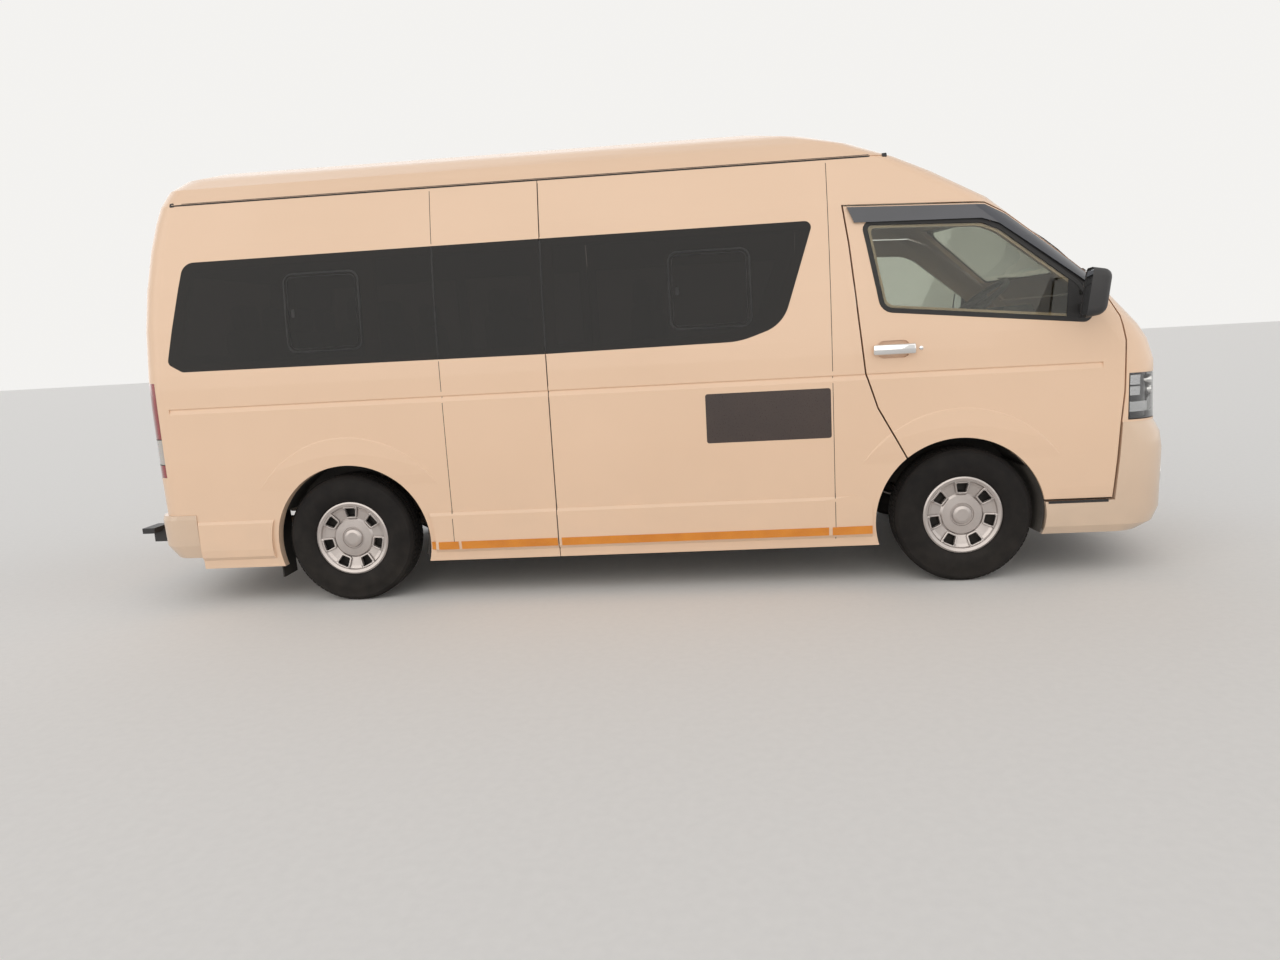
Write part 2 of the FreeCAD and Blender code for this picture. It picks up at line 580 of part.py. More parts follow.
# Floor, wheelhouses, rails and engine box
plate = size("floor_plate")
floor_low = floor_top - plate
floor = box(rx(-1000), fx(700), -far, far, floor_low, floor_top)
liner = size("liner")
house = []
house_inner = {"front": 528, "rear": 705}
gap_to_wall = half_width - wall - 4
above = box(tail - 100, nose + 100, -far, far, floor_low - 110, body_height)
for centre, inner_edge in ((front_arch_x, house_inner["front"]), (rear_arch_x, house_inner["rear"])):
    for side, way in sides:
        low, high = sorted((way * inner_edge, way * gap_to_wall))
        ring = drum(centre, low, high, arch_z, arch_radius + liner).cut(drum(centre, low, high, arch_z, arch_radius))
        plate_y = sorted((way * (inner_edge - liner), way * inner_edge))
        web = drum(centre, plate_y[0], plate_y[1], arch_z, arch_radius + liner)
        hole_y = sorted((way * (inner_edge - liner - seat_gap), way * far))
        hole = drum(centre, hole_y[0], hole_y[1], arch_z, arch_radius + liner + seat_gap)
        house.append((ring.fuse(web).common(above), hole))
box_front, box_rear, box_half, box_top = fx(120), fx(-830), 520, 850
hump_void = box(box_rear + 12, box_front - 12, -box_half + 12, box_half - 12, floor_low, box_top - 12)
floor = floor.cut(hump_void)
rail_in = size("rail_inner")
rail_out = rail_in + size("rail_width")
rail_low = floor_low - size("rail_depth")
for side, way in sides:
    low, high = sorted((way * rail_in, way * rail_out))
    floor = floor.fuse(box(rx(-1000), fx(680), low, high, rail_low, floor_low))
for along in (fx(500), fx(-1000), fx(-1700), rx(420), rx(-500), rx(-960)):
    floor = floor.fuse(box(along - 30, along + 30, -rail_in, rail_in, rail_low + 30, floor_low))
for side, way in sides:
    for along in (fx(-620), fx(-1300), seam_middle, rx(560), rx(-560)):
        low, high = sorted((way * rail_out, way * (half_width - wall - 6)))
        floor = floor.fuse(box(along - 25, along + 25, low, high, floor_low - 60, floor_low))
floor = floor.cut(hump_void)
for shape, hole in house:
    floor = floor.cut(hole)
front_clip = form(wall + 7, [0, 3, 5, 6, 8, 9, 11, 13], wall - 5, sill - 40).common(
    box(fx(-560), nose, -far, far, 0, body_height))
rear_clip = cabin.common(box(tail, fx(-560), -far, far, 0, body_height))
floor = floor.common(front_clip).fuse(floor.common(rear_clip))
keep("floor_pan", floor.removeSplitter())
keep("wheelhouses", Part.makeCompound([shape.common(front_clip if hole.BoundBox.XMax > fx(0) else rear_clip)
                                       for shape, hole in house]))

# The engine cover stands round its hole in the floor, under the front seats
cover = box(box_rear, box_front, -box_half, box_half, floor_top + seat_gap, box_top)
keep("engine_cover", cover.cut(hump_void))

# Dashboard with an instrument hood on the driver's side
dash = prism([(fx(250), 1010), (fx(230), 1180), (fx(330), 1270), (fx(560), 1290), (fx(700), 1240), (fx(720), 1010)],
             -840, 840)
hood = prism([(fx(240), 1240), (fx(300), 1340), (fx(430), 1345), (fx(480), 1280)], -560, -240)
dash = dash.fuse(hood).common(form(wall + 6, [0, 3, 5, 6, 8, 9, 11, 13], wall, sill - 30))
stay = prism([(fx(430), floor_top + 0.3), (fx(430), 1015), (fx(520), 1015), (fx(520), floor_top + 0.3)], -160, 160)
dash = dash.fuse(stay)
tilt = math.radians(size("column_tilt"))
column_way = Vec(math.sin(tilt), 0, -math.cos(tilt))
column_top = Vec(fx(208), -size("steer_wheel_y"), 1368).add(column_way * (40 + seat_gap))
column = Part.makeCylinder(22, 330, column_top, column_way)
dash = dash.fuse(column)
keep("dashboard", dash.removeSplitter())


def block(name, length, width, height, x, y, z):
    """Box bound to the sheet, placed by its lower corner."""
    item = doc.addObject("Part::Box", name)
    item.setExpression("Length", length)
    item.setExpression("Width", width)
    item.setExpression("Height", height)
    item.setExpression(".Placement.Base.x", x)
    item.setExpression(".Placement.Base.y", y)
    item.setExpression(".Placement.Base.z", z)
    return item


def rod(name, radius, length, x, y, z, axis):
    """Cylinder bound to the sheet along X, Y or Z."""
    item = doc.addObject("Part::Cylinder", name)
    item.setExpression("Radius", radius)
    item.setExpression("Height", length)
    turn = {"x": (Vec(0, 1, 0), 90), "y": (Vec(1, 0, 0), -90), "z": (Vec(0, 0, 1), 0)}[axis]
    item.Placement = FreeCAD.Placement(Vec(0, 0, 0), FreeCAD.Rotation(*turn))
    item.setExpression(".Placement.Base.x", x)
    item.setExpression(".Placement.Base.y", y)
    item.setExpression(".Placement.Base.z", z)
    return item


def joined(name, parts):
    group = doc.addObject("Part::MultiFuse", name)
    group.Label = name
    group.Shapes = parts
    pieces.append(group)
    return group


def seat(name, along, across, width, base, top):
    """Cushion, leaning back and head rest, in one run of blocks."""
    parts = [
        block(name + "_cushion", "480", str(width), "dims.cushion_height",
              "%s + %g" % (front_expr, along), "%g" % (across - width / 2), "%s" % base),
        block(name + "_back", "dims.back_gauge", str(width), "%g" % top,
              "%s + %g" % (front_expr, along - 90), "%g" % (across - width / 2), "%s + 40" % base),
    ]
    return parts


front_parts = []
for label, across in (("driver", -400), ("mate", 400)):
    front_parts += seat("front_" + label, -360, across, 470, "850.3", 620)
    front_parts.append(block("front_%s_rest" % label, "90", "250", "150",
                             "%s - 435" % front_expr, "%g" % (across - 125), "1500"))
joined("front_seats", front_parts)
row_parts = []
for number, along in enumerate((-1500, -2250, -3000, -3700)):
    if number < 3:
        runs = ((-390, 900), (560, 420))
    else:
        runs = ((0, 1380),)
    for place, (across, width) in enumerate(runs):
        label = "row_%d_%d" % (number + 1, place + 1)
        row_parts += seat(label, along, across, width, "900", 640)
        row_parts.append(block(label + "_leg", "60", "40", "262",
                               "%s + %g" % (front_expr, along + 60), "%g" % (across - 20),
                               "dims.floor_height + %s" % "dims.seat_gap"))
        row_parts.append(block(label + "_foot", "60", "40", "262",
                               "%s + %g" % (front_expr, along + 360), "%g" % (across - 20),
                               "dims.floor_height + %s" % "dims.seat_gap"))
joined("passenger_seats", row_parts)

# Engine block, gearbox and propeller shaft
engine_parts = [
    block("engine_core", "700", "420", "430", "%s - 700" % front_expr, "-210", "395"),
    rod("gearbox", "100", "260", "%s - 950" % front_expr, "0", "470", "x"),
    rod("prop_shaft", "38", "dims.wheelbase - 940 - 160.3", "%s + 160.3" % rear_expr, "0", "dims.tyre_radius + 100", "x"),
    block("engine_mount_front", "70", "2 * dims.rail_inner - 0.6", "50", "%s - 120" % front_expr,
          "-dims.rail_inner + 0.3", "510"),
]
joined("engine", engine_parts)

# Exhaust and fuel tank under the floor
under_parts = [
    block("fuel_tank", "850", "300", "dims.floor_height - dims.floor_plate - 60 - 310 - dims.seat_gap",
          "%s - 1650" % front_expr, "540", "310"),
]
under_parts.append(rod("exhaust_pipe", "28", "3000", "%s - 3700" % front_expr, "-330", "420", "x"))
under_parts.append(rod("silencer", "85", "620", "%s - 2350" % front_expr, "-330", "420", "x"))
for number, along in enumerate((-1400, -3550)):
    under_parts.append(block("exhaust_hanger_%d" % number, "30", "12",
                             "dims.floor_height - dims.floor_plate - 430 - dims.seat_gap",
                             "%s + %g" % (front_expr, along), "-336", "430"))
joined("exhaust_and_tank", under_parts)

# Rear axle with leaf springs
hub_expr = "dims.rear_track / 2 - dims.tyre_width / 2 + dims.rim_inset"
axle_parts = [
    rod("axle_beam", "42", "2 * (%s)" % hub_expr, rear_expr, "-(%s)" % hub_expr, "dims.tyre_radius", "y"),
    rod("axle_shaft", "dims.spindle_radius - dims.bore_clear",
        "2 * (%s + dims.hub_inset + 58)" % hub_expr, rear_expr, "-(%s + dims.hub_inset + 58)" % hub_expr,
        "dims.tyre_radius", "y"),
    rod("differential", "140", "180", rear_expr, "-90", "dims.tyre_radius", "y"),
    block("pinion_nose", "160", "110", "160", rear_expr, "-55", "dims.tyre_radius - 20"),
]
for side, way in sides:
    start = "%s" % hub_expr if way > 0 else "-(%s) - dims.drum_width" % hub_expr
    axle_parts.append(rod("rear_drum_" + side, "dims.drum_radius", "dims.drum_width", rear_expr, start,
                          "dims.tyre_radius", "y"))
    across = "565" if way > 0 else "-635"
    axle_parts.append(block("leaf_" + side, "1240", "70", "34", "%s - 620" % rear_expr, across, "376"))
    axle_parts.append(block("leaf_front_eye_" + side, "50", "70", "130", "%s + 570" % rear_expr, across, "400"))
    axle_parts.append(block("leaf_rear_eye_" + side, "50", "70", "130", "%s - 620" % rear_expr, across, "400"))
joined("rear_axle", axle_parts)

# Front cross member and suspension arms
arm_low = "dims.tyre_radius - dims.post_half - dims.arm_gauge"
arm_high = "dims.tyre_radius + dims.post_half"
arm_parts = [
    block("cross_member", "140", "2 * dims.rail_inner + 120", "90", "%s - 70" % front_expr,
          "-dims.rail_inner - 60", "300"),
]
for side, way in sides:
    across = "dims.rail_inner - 120" if way > 0 else "-dims.kingpin_half - 24"
    arm_parts.append(block("lower_arm_" + side, "60", "dims.kingpin_half + 24 - dims.rail_inner + 120",
                           "dims.arm_gauge", "%s - 30" % front_expr, across, arm_low))
    arm_parts.append(block("lower_post_" + side, "60", "100", "120", "%s - 30" % front_expr,
                           "dims.rail_inner - 120" if way > 0 else "-dims.rail_inner + 20", arm_low))
    across = "dims.rail_inner - 60" if way > 0 else "-dims.kingpin_half - 24"
    arm_parts.append(block("upper_arm_" + side, "60", "dims.kingpin_half + 24 - dims.rail_inner + 60",
                           "dims.arm_gauge", "%s - 30" % front_expr, across, arm_high))
    arm_parts.append(block("upper_post_" + side, "60", "60", "95", "%s - 30" % front_expr,
                           "dims.rail_inner - 60" if way > 0 else "-dims.rail_inner", "380"))
    arm_parts.append(block("member_stay_" + side, "140", "50",
                           "dims.floor_height - dims.floor_plate - dims.rail_depth - 385 - dims.seat_gap",
                           "%s - 70" % front_expr, "dims.rail_inner + 5" if way > 0 else "-dims.rail_inner - 55", "385"))
joined("front_suspension", arm_parts)

# Knuckles turn on the kingpins
front_hub = "dims.front_track / 2 - dims.tyre_width / 2 + dims.rim_inset"
for side, way in sides:
    start = "%s" % front_hub if way > 0 else "-(%s) - dims.drum_width" % front_hub
    spin = "%s" % front_hub if way > 0 else "-(%s) - dims.hub_inset - 58" % front_hub
    arm = "%s - 40" % front_hub if way > 0 else "-(%s) - 10" % front_hub
    parts = [
        rod("brake_" + side, "dims.drum_radius - 20", "dims.drum_width", front_expr, start, "dims.tyre_radius", "y"),
        rod("spindle_" + side, "dims.spindle_radius - dims.bore_clear", "dims.hub_inset + 58", front_expr, spin,
            "dims.tyre_radius", "y"),
        rod("kingpin_" + side, "20", "2 * dims.post_half - 2 * dims.seat_gap", front_expr,
            "%s dims.kingpin_half" % ("1 *" if way > 0 else "-1 *"),
            "dims.tyre_radius - dims.post_half + dims.seat_gap", "z"),
        block("steer_arm_" + side, "150", "50", "24", "%s - 150" % front_expr, arm, "dims.tyre_radius - 60"),
    ]
    joined("knuckle_" + side, parts)


def profile_body(name, points, axis_y):
    """Body revolved about the wheel axis from a closed outline of (radius, across) pairs."""
    body = doc.addObject("PartDesign::Body", name)
    body.Label = name
    plane = [f for f in body.Origin.OriginFeatures if f.Role == "XY_Plane"][0]
    sketch = body.newObject("Sketcher::SketchObject", name + "_profile")
    sketch.AttachmentSupport = [(plane, "")]
    sketch.MapMode = "FlatFace"
    values = [(float(dims.evalExpression(a)), float(dims.evalExpression(b))) for a, b in points]
    count = len(points)
    for number in range(count):
        first, second = values[number], values[(number + 1) % count]
        sketch.addGeometry(Part.LineSegment(Vec(first[0], first[1], 0), Vec(second[0], second[1], 0)), False)
    for number in range(count):
        sketch.addConstraint(Sketcher.Constraint("Coincident", number, 2, (number + 1) % count, 1))
    for number, (first, second) in enumerate(points):
        for kind, expression, value in (("DistanceX", first, values[number][0]),
                                        ("DistanceY", second, values[number][1])):
            index = sketch.addConstraint(Sketcher.Constraint(kind, -1, 1, number, 1, value))
            sketch.setExpression("Constraints[%d]" % index, expression)
    turn = body.newObject("PartDesign::Revolution", name + "_turn")
    turn.Profile = sketch
    turn.ReferenceAxis = (sketch, ["V_Axis"])
    turn.Angle = 360
    doc.recompute()
    return body


tyre_points = [
    ("dims.rim_radius", "22"), ("dims.rim_radius + 63", "0"), ("dims.tyre_radius - 13", "14"),
    ("dims.tyre_radius", "36"), ("dims.tyre_radius", "dims.tyre_width - 36"),
    ("dims.tyre_radius - 13", "dims.tyre_width - 14"), ("dims.rim_radius + 63", "dims.tyre_width"),
    ("dims.rim_radius", "dims.tyre_width - 22"),
]
wheel_points = [
    ("0", "160"), ("30", "160"), ("44", "157"), ("49", "151"), ("51", "145"), ("55", "145"), ("58", "149"),
    ("96", "147"), ("106", "139"), ("150", "146"), ("164", "152"), ("170", "161"), ("dims.rim_radius - 8", "165"),
    ("dims.rim_radius - dims.seat_gap", "162"), ("dims.rim_radius - dims.seat_gap", "10"),
    ("dims.rim_radius - 10", "10"), ("dims.rim_radius - 10", "150"), ("164", "140"), ("150", "134"), ("106", "127"),
    ("60", "127"), ("60", "dims.hub_inset"), ("dims.spindle_radius", "dims.hub_inset"),
    ("dims.spindle_radius", "120"), ("0", "120"),
]
for place, base, track in (("front", front_expr, "dims.front_track"), ("rear", rear_expr, "dims.rear_track")):
    for side, way in sides:
        tyre = profile_body("tyre_%s_%s" % (place, side), tyre_points, way)
        wheel = profile_body("wheel_%s_%s" % (place, side), wheel_points, way)
        plane = [f for f in wheel.Origin.OriginFeatures if f.Role == "XZ_Plane"][0]
        hole = wheel.newObject("Sketcher::SketchObject", wheel.Name + "_hole")
        hole.AttachmentSupport = [(plane, "")]
        hole.MapMode = "FlatFace"
        corners = [(-20, 112), (-31, 162), (31, 162), (20, 112)]
        for number in range(4):
            a, b = corners[number], corners[(number + 1) % 4]
            hole.addGeometry(Part.LineSegment(Vec(a[0], a[1], 0), Vec(b[0], b[1], 0)), False)
        for number in range(4):
            hole.addConstraint(Sketcher.Constraint("Coincident", number, 2, (number + 1) % 4, 1))
            hole.addConstraint(Sketcher.Constraint("DistanceX", -1, 1, number, 1, corners[number][0]))
            hole.addConstraint(Sketcher.Constraint("DistanceY", -1, 1, number, 1, corners[number][1]))
        doc.recompute()
        before = wheel.Shape.Volume
        pocket = wheel.newObject("PartDesign::Pocket", wheel.Name + "_opening")
        pocket.Profile = hole
        pocket.Type = "ThroughAll"
        doc.recompute()
        if abs(wheel.Shape.Volume - before) < 1:
            pocket.Reversed = True
            doc.recompute()
        pattern = wheel.newObject("PartDesign::PolarPattern", wheel.Name + "_ring")
        pattern.Originals = [pocket]
        pattern.Axis = ([f for f in wheel.Origin.OriginFeatures if f.Role == "Y_Axis"][0], [""])
        pattern.Angle = 360
        pattern.setExpression("Occurrences", "dims.cover_holes")
        wheel.Tip = pattern
        doc.recompute()
        for body, inset in ((tyre, "0"), (wheel, "dims.rim_inset")):
            turn = FreeCAD.Rotation(Vec(0, 0, 1), 180 if way < 0 else 0)
            body.Placement = FreeCAD.Placement(Vec(0, 0, 0), turn)
            body.setExpression(".Placement.Base.x", base)
            inner_face = "(%s / 2 - dims.tyre_width / 2 + %s)" % (track, inset)
            body.setExpression(".Placement.Base.y", inner_face if way > 0 else "-" + inner_face)
            body.setExpression(".Placement.Base.z", "dims.tyre_radius")
            pieces.append(body)

# Steering wheel: rim, three spokes and hub on the tilted column
rim = doc.addObject("Part::Torus", "steering_rim")
rim.setExpression("Radius1", "dims.steer_wheel_radius - dims.steer_rim_gauge")
rim.setExpression("Radius2", "dims.steer_rim_gauge")
hub = doc.addObject("Part::Cylinder", "steering_hub")
hub.Radius = 62
hub.Height = 50
hub.Placement = FreeCAD.Placement(Vec(0, 0, -40), FreeCAD.Rotation())
wheel_parts = [rim, hub]
for number, angle in enumerate((0, 180, 270)):
    spoke = doc.addObject("Part::Box", "steering_spoke_%d" % number)
    spoke.setExpression("Length", "dims.steer_wheel_radius - dims.steer_rim_gauge")
    spoke.Width = 34
    spoke.Height = 16
    turn = FreeCAD.Rotation(Vec(0, 0, 1), angle)
    spoke.Placement = FreeCAD.Placement(turn.multVec(Vec(0, -17, -12)), turn)
    wheel_parts.append(spoke)
steering = joined("steering_wheel", wheel_parts)
steering.Placement = FreeCAD.Placement(Vec(0, 0, 0), FreeCAD.Rotation(
    Vec(0, 1, 0), -size("column_tilt")).multiply(FreeCAD.Rotation(Vec(0, 0, 1), -90)))
steering.setExpression(".Placement.Base.x", "%s + 208" % front_expr)
steering.setExpression(".Placement.Base.y", "-dims.steer_wheel_y")
steering.setExpression(".Placement.Base.z", "1368")

# Mirrors on the doors
for side, way in sides:
    low, high = sorted((way * 985, way * 1165))
    head_box = box(fx(500), fx(585), low, high, 1262, 1485)
    edges = [e for e in head_box.Edges]
    head_box = head_box.makeFillet(22, edges)
    low, high = sorted((way * 900, way * 1010))
    stalk = box(fx(520), fx(570), low, high, 1290, 1330).cut(form(-seat_gap))
    low, high = sorted((way * 905, way * 960))
    foot = box(fx(490), fx(600), low, high, 1270, 1350).cut(form(-seat_gap)).cut(
        form(-22).mirror(Vec(0, 0, 0), Vec(0, 1, 0)).cut(form(-22)))
    foot = foot.common(form(-20))
    keep("mirror_" + side, head_box.fuse([stalk, foot]))

# Wipers rest on the windscreen base
wiper_parts = []
wiper_skin = form(-22).cut(form(-4))
for start, end in ((-620, -40), (20, 600)):
    wiper_parts.append(wiper_skin.common(
        prism([(start, 1492), (start + 8, 1506), (end, 1536), (end - 4, 1520)], fx(400), nose + 60, "yz")))
for start in (-600, 45):
    wiper_parts.append(form(-12).cut(form(-seat_gap)).common(
        prism([(start - 14, 1468), (start - 14, 1500), (start + 14, 1500), (start + 14, 1468)], fx(400), nose + 60,
              "yz")))
wiper = wiper_parts[0].fuse(wiper_parts[1:])
keep("wipers", wiper)

# Mud flaps behind the rear wheels
flap_parts = []
for side, way in sides:
    across = "700" if way > 0 else "-850"
    flap_parts.append(block("flap_" + side, "8", "150", "dims.floor_height - dims.floor_plate - 126 - dims.seat_gap",
                            "%s - 425" % rear_expr, across, "126"))
joined("mud_flaps", flap_parts)

# Tow bar: cross tube, step pads and ball
tow_end = "(%s - dims.rear_overhang - dims.tow_reach)" % rear_expr
tow_parts = [
    block("tow_cross", "60", "1240", "60", "%s + 60" % tow_end, "-620", "300"),
    block("tow_pad_right", "70", "150", "30", tow_end, "-690", "360"),
    block("tow_arm_right", "80", "40", "70", "%s + 20" % tow_end, "-620", "300"),
    block("tow_pad_left", "70", "150", "30", tow_end, "540", "360"),
    block("tow_arm_left", "80", "40", "70", "%s + 20" % tow_end, "580", "300"),
    block("tow_tongue", "120", "70", "25", tow_end, "-35", "318"),
    block("tow_stay_right", "450", "50", "60", "%s + 90" % tow_end, "-475", "300"),
    block("tow_stay_left", "450", "50", "60", "%s + 90" % tow_end, "425", "300"),
    block("tow_riser_right", "60", "50", "dims.floor_height - dims.floor_plate - dims.rail_depth - 300 - dims.seat_gap",
          "%s + 480" % tow_end, "-475", "300"),
    block("tow_riser_left", "60", "50", "dims.floor_height - dims.floor_plate - dims.rail_depth - 300 - dims.seat_gap",
          "%s + 480" % tow_end, "425", "300"),
]
ball = doc.addObject("Part::Sphere", "tow_ball")
ball.setExpression("Radius", "dims.ball_radius")
ball.setExpression(".Placement.Base.x", "%s + dims.ball_radius + 8" % tow_end)
ball.setExpression(".Placement.Base.z", "398")
neck = rod("tow_neck", "13", "60", "%s + dims.ball_radius + 8" % tow_end, "0", "338", "z")
joined("tow_bar", tow_parts + [ball, neck])

doc.recompute()

# Every object has to be sound before anything is written
for item in doc.Objects:
    if "Invalid" in item.State or "Error" in item.State:
        raise RuntimeError("failed object " + item.Name)
bad = [item.Label for item in pieces if item.Shape.isNull() or not item.Shape.isValid() or not item.Shape.Solids]
if bad:
    raise RuntimeError("bad shapes: " + ", ".join(bad))
for item in pieces:
    item.Shape.exportStep("parts/%s.step" % item.Label)
    bounds = item.Shape.BoundBox
    print("%-20s solids %d  x %7.1f %7.1f  y %7.1f %7.1f  z %7.1f %7.1f" % (
        item.Label, len(item.Shape.Solids), bounds.XMin, bounds.XMax, bounds.YMin, bounds.YMax, bounds.ZMin,
        bounds.ZMax))
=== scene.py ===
import bpy, bmesh
from math import sin, cos, pi, radians, hypot, atan2
from mathutils import Vector, Matrix
from mathutils.bvhtree import BVHTree


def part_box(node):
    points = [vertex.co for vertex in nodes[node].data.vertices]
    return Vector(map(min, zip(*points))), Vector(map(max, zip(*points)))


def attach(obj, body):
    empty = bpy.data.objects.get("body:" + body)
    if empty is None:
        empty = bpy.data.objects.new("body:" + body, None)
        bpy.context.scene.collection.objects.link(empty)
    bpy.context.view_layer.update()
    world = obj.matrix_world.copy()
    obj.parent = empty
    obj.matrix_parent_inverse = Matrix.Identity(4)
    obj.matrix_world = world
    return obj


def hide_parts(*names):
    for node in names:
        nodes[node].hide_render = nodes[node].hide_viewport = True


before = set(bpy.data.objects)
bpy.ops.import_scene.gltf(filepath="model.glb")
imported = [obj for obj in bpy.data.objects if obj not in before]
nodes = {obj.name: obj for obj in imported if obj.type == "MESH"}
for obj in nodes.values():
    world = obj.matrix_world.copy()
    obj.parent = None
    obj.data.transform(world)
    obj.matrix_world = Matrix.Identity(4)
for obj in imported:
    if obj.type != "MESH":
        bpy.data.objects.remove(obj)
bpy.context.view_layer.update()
print("frame loaded", len(nodes), "nodes")


def middle(node):
    low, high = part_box(node)
    return (Vector(low) + Vector(high)) / 2


frontAxle = middle("tyre_front_right").x
rearAxle = middle("tyre_rear_right").x
sides = (("right", -1), ("left", 1))
wheels = [(place + "_" + side, way) for place in ("front", "rear") for side, way in sides]


def fx(along):
    return frontAxle + along


def addObject(name, data):
    item = bpy.data.objects.new(name, data)
    bpy.context.collection.objects.link(item)
    return item


def meshOf(name, bm):
    mesh = bpy.data.meshes.new(name)
    bm.to_mesh(mesh)
    bm.free()
    return mesh


# Camera and lamps
cameraSetup = {
    "place": (0.42823, -5.36889, 1.28476), "lens": 25.3125, "sensor": 36, "yaw": -0.08632, "pitch": -0.15629,
    "roll": -0.05625
}
lightSetup = {
    "sky": (0.96, 0.97, 1.0), "skyLevel": 0.40, "backdrop": (0.90, 0.89, 0.87), "floor": (0.86, 0.85, 0.83),
    "lamps": (("key", (-0.35, -0.85, 0.33), 1.50, 1.5, (1.0, 0.95, 0.88)),
        ("front", (0.9, -0.25, 0.30), 0.74, 1.6, (1.0, 0.97, 0.93)),
        ("back", (-0.5, 0.85, 0.33), 0.74, 1.6, (0.95, 0.97, 1.0)))
}


def addCamera(setup):
    data = bpy.data.cameras.new("camera")
    data.lens, data.sensor_width = setup["lens"], setup["sensor"]
    camera = addObject("camera", data)
    yaw, pitch, roll = setup["yaw"], setup["pitch"], setup["roll"]
    forward = Vector((sin(yaw) * cos(pitch), cos(yaw) * cos(pitch), sin(pitch)))
    right = Vector((cos(yaw), -sin(yaw), 0))
    up = right.cross(forward)
    across = cos(roll) * right + sin(roll) * up
    upward = -sin(roll) * right + cos(roll) * up
    turn = Matrix((across, upward, -forward)).transposed().to_4x4()
    camera.matrix_world = Matrix.Translation(setup["place"]) @ turn
    bpy.context.scene.camera = camera


def feed(tree, node, inputs):
    for socket, value in inputs.items():
        if isinstance(value, bpy.types.NodeSocket):
            tree.links.new(value, node.inputs[socket])
        else:
            node.inputs[socket].default_value = (*value, 1) if isinstance(value, tuple) else value
    return node


def addNode(tree, kind, inputs, **settings):
    node = tree.nodes.new("ShaderNode" + kind)
    for name, value in settings.items():
        setattr(node, name, value)
    return feed(tree, node, inputs)


def mixShaders(tree, factor, first, second, end):
    mix = addNode(tree, "MixShader", {0: factor, 1: first, 2: second})
    feed(tree, tree.nodes[end], {"Surface": mix.outputs[0]})


def addLight(setup):
    world = bpy.data.worlds.new("studio")
    bpy.context.scene.world = world
    world.use_nodes = True
    tree = world.node_tree
    seen = feed(tree, tree.nodes["Background"], {"Color": setup["backdrop"], "Strength": 1})
    lit = addNode(tree, "Background", {"Color": setup["sky"], "Strength": setup["skyLevel"]})
    path = tree.nodes.new("ShaderNodeLightPath")
    total = path.outputs["Is Camera Ray"]
    for other in ("Is Glossy Ray", "Is Transmission Ray"):
        total = addNode(tree, "Math", {0: total, 1: path.outputs[other]}, operation="MAXIMUM").outputs[0]
    mixShaders(tree, total, lit.outputs[0], seen.outputs[0], "World Output")
    for name, direction, strength, spread, color in setup["lamps"]:
        lamp = bpy.data.lights.new(name, "SUN")
        lamp.energy, lamp.angle, lamp.color = strength, spread, color
        addObject(name, lamp).rotation_euler = Vector(direction).to_track_quat("Z", "Y").to_euler()


addCamera(cameraSetup)
bpy.context.scene.view_settings.view_transform = "Standard"
addLight(lightSetup)


# Finishes, all procedural and on Object coordinates
def newMaterial(name):
    material = bpy.data.materials.new(name)
    material.use_nodes = True
    return material, material.node_tree, material.node_tree.nodes["Principled BSDF"]


def objectSpot(tree):
    return tree.nodes.new("ShaderNodeTexCoord").outputs["Object"]


def noiseAt(tree, scale, detail=3.0):
    noise = addNode(tree, "TexNoise", {"Vector": objectSpot(tree), "Scale": scale, "Detail": detail})
    return noise.outputs["Fac"]


def ranged(tree, value, low, high, lowIn=0.3, highIn=0.7):
    return addNode(tree, "MapRange", {"Value": value, "From Min": lowIn, "From Max": highIn, "To Min": low,
                                      "To Max": high}).outputs["Result"]


def mixColors(tree, factor, first, second):
    return addNode(tree, "Mix", {"Factor": factor, 6: first, 7: second}, data_type="RGBA").outputs[2]


def scaled(color, share):
    return tuple(min(1.0, share * part) for part in color)


def addBump(tree, height, strength, distance):
    bump = addNode(tree, "Bump", {"Height": height, "Strength": strength, "Distance": distance})
    feed(tree, tree.nodes["Principled BSDF"], {"Normal": bump.outputs["Normal"]})


dustForm = {"scale": 7.0, "detail": 6.0, "least": 0.25, "foot": 0.1}


def makeFinish(name, color, shade, blotch, fine, rough, look):
    material, tree, shader = newMaterial(name)
    color = mixColors(tree, ranged(tree, noiseAt(tree, blotch), 0, 1), color, shade)
    grain = noiseAt(tree, fine, 4.0)
    if "dust" in look:  # pale road dust that thickens towards the ground
        tone, most, top = look["dust"]
        split = addNode(tree, "SeparateXYZ", {"Vector": objectSpot(tree)})
        low = ranged(tree, split.outputs["Z"], most, 0.0, dustForm["foot"], top)
        cloud = ranged(tree, noiseAt(tree, dustForm["scale"], dustForm["detail"]), dustForm["least"], 1.0)
        share = addNode(tree, "Math", {0: low, 1: cloud}, operation="MULTIPLY").outputs[0]
        color = mixColors(tree, share, color, tone)
    feed(tree, shader, {"Base Color": color, "Roughness": ranged(tree, grain, *rough),
                        "Metallic": look.get("metal", 0.0), "Coat Weight": look.get("coat", 0.0),
                        "Specular IOR Level": look.get("shine", 0.5)})
    if "bump" in look:
        addBump(tree, grain, *look["bump"])
    return material


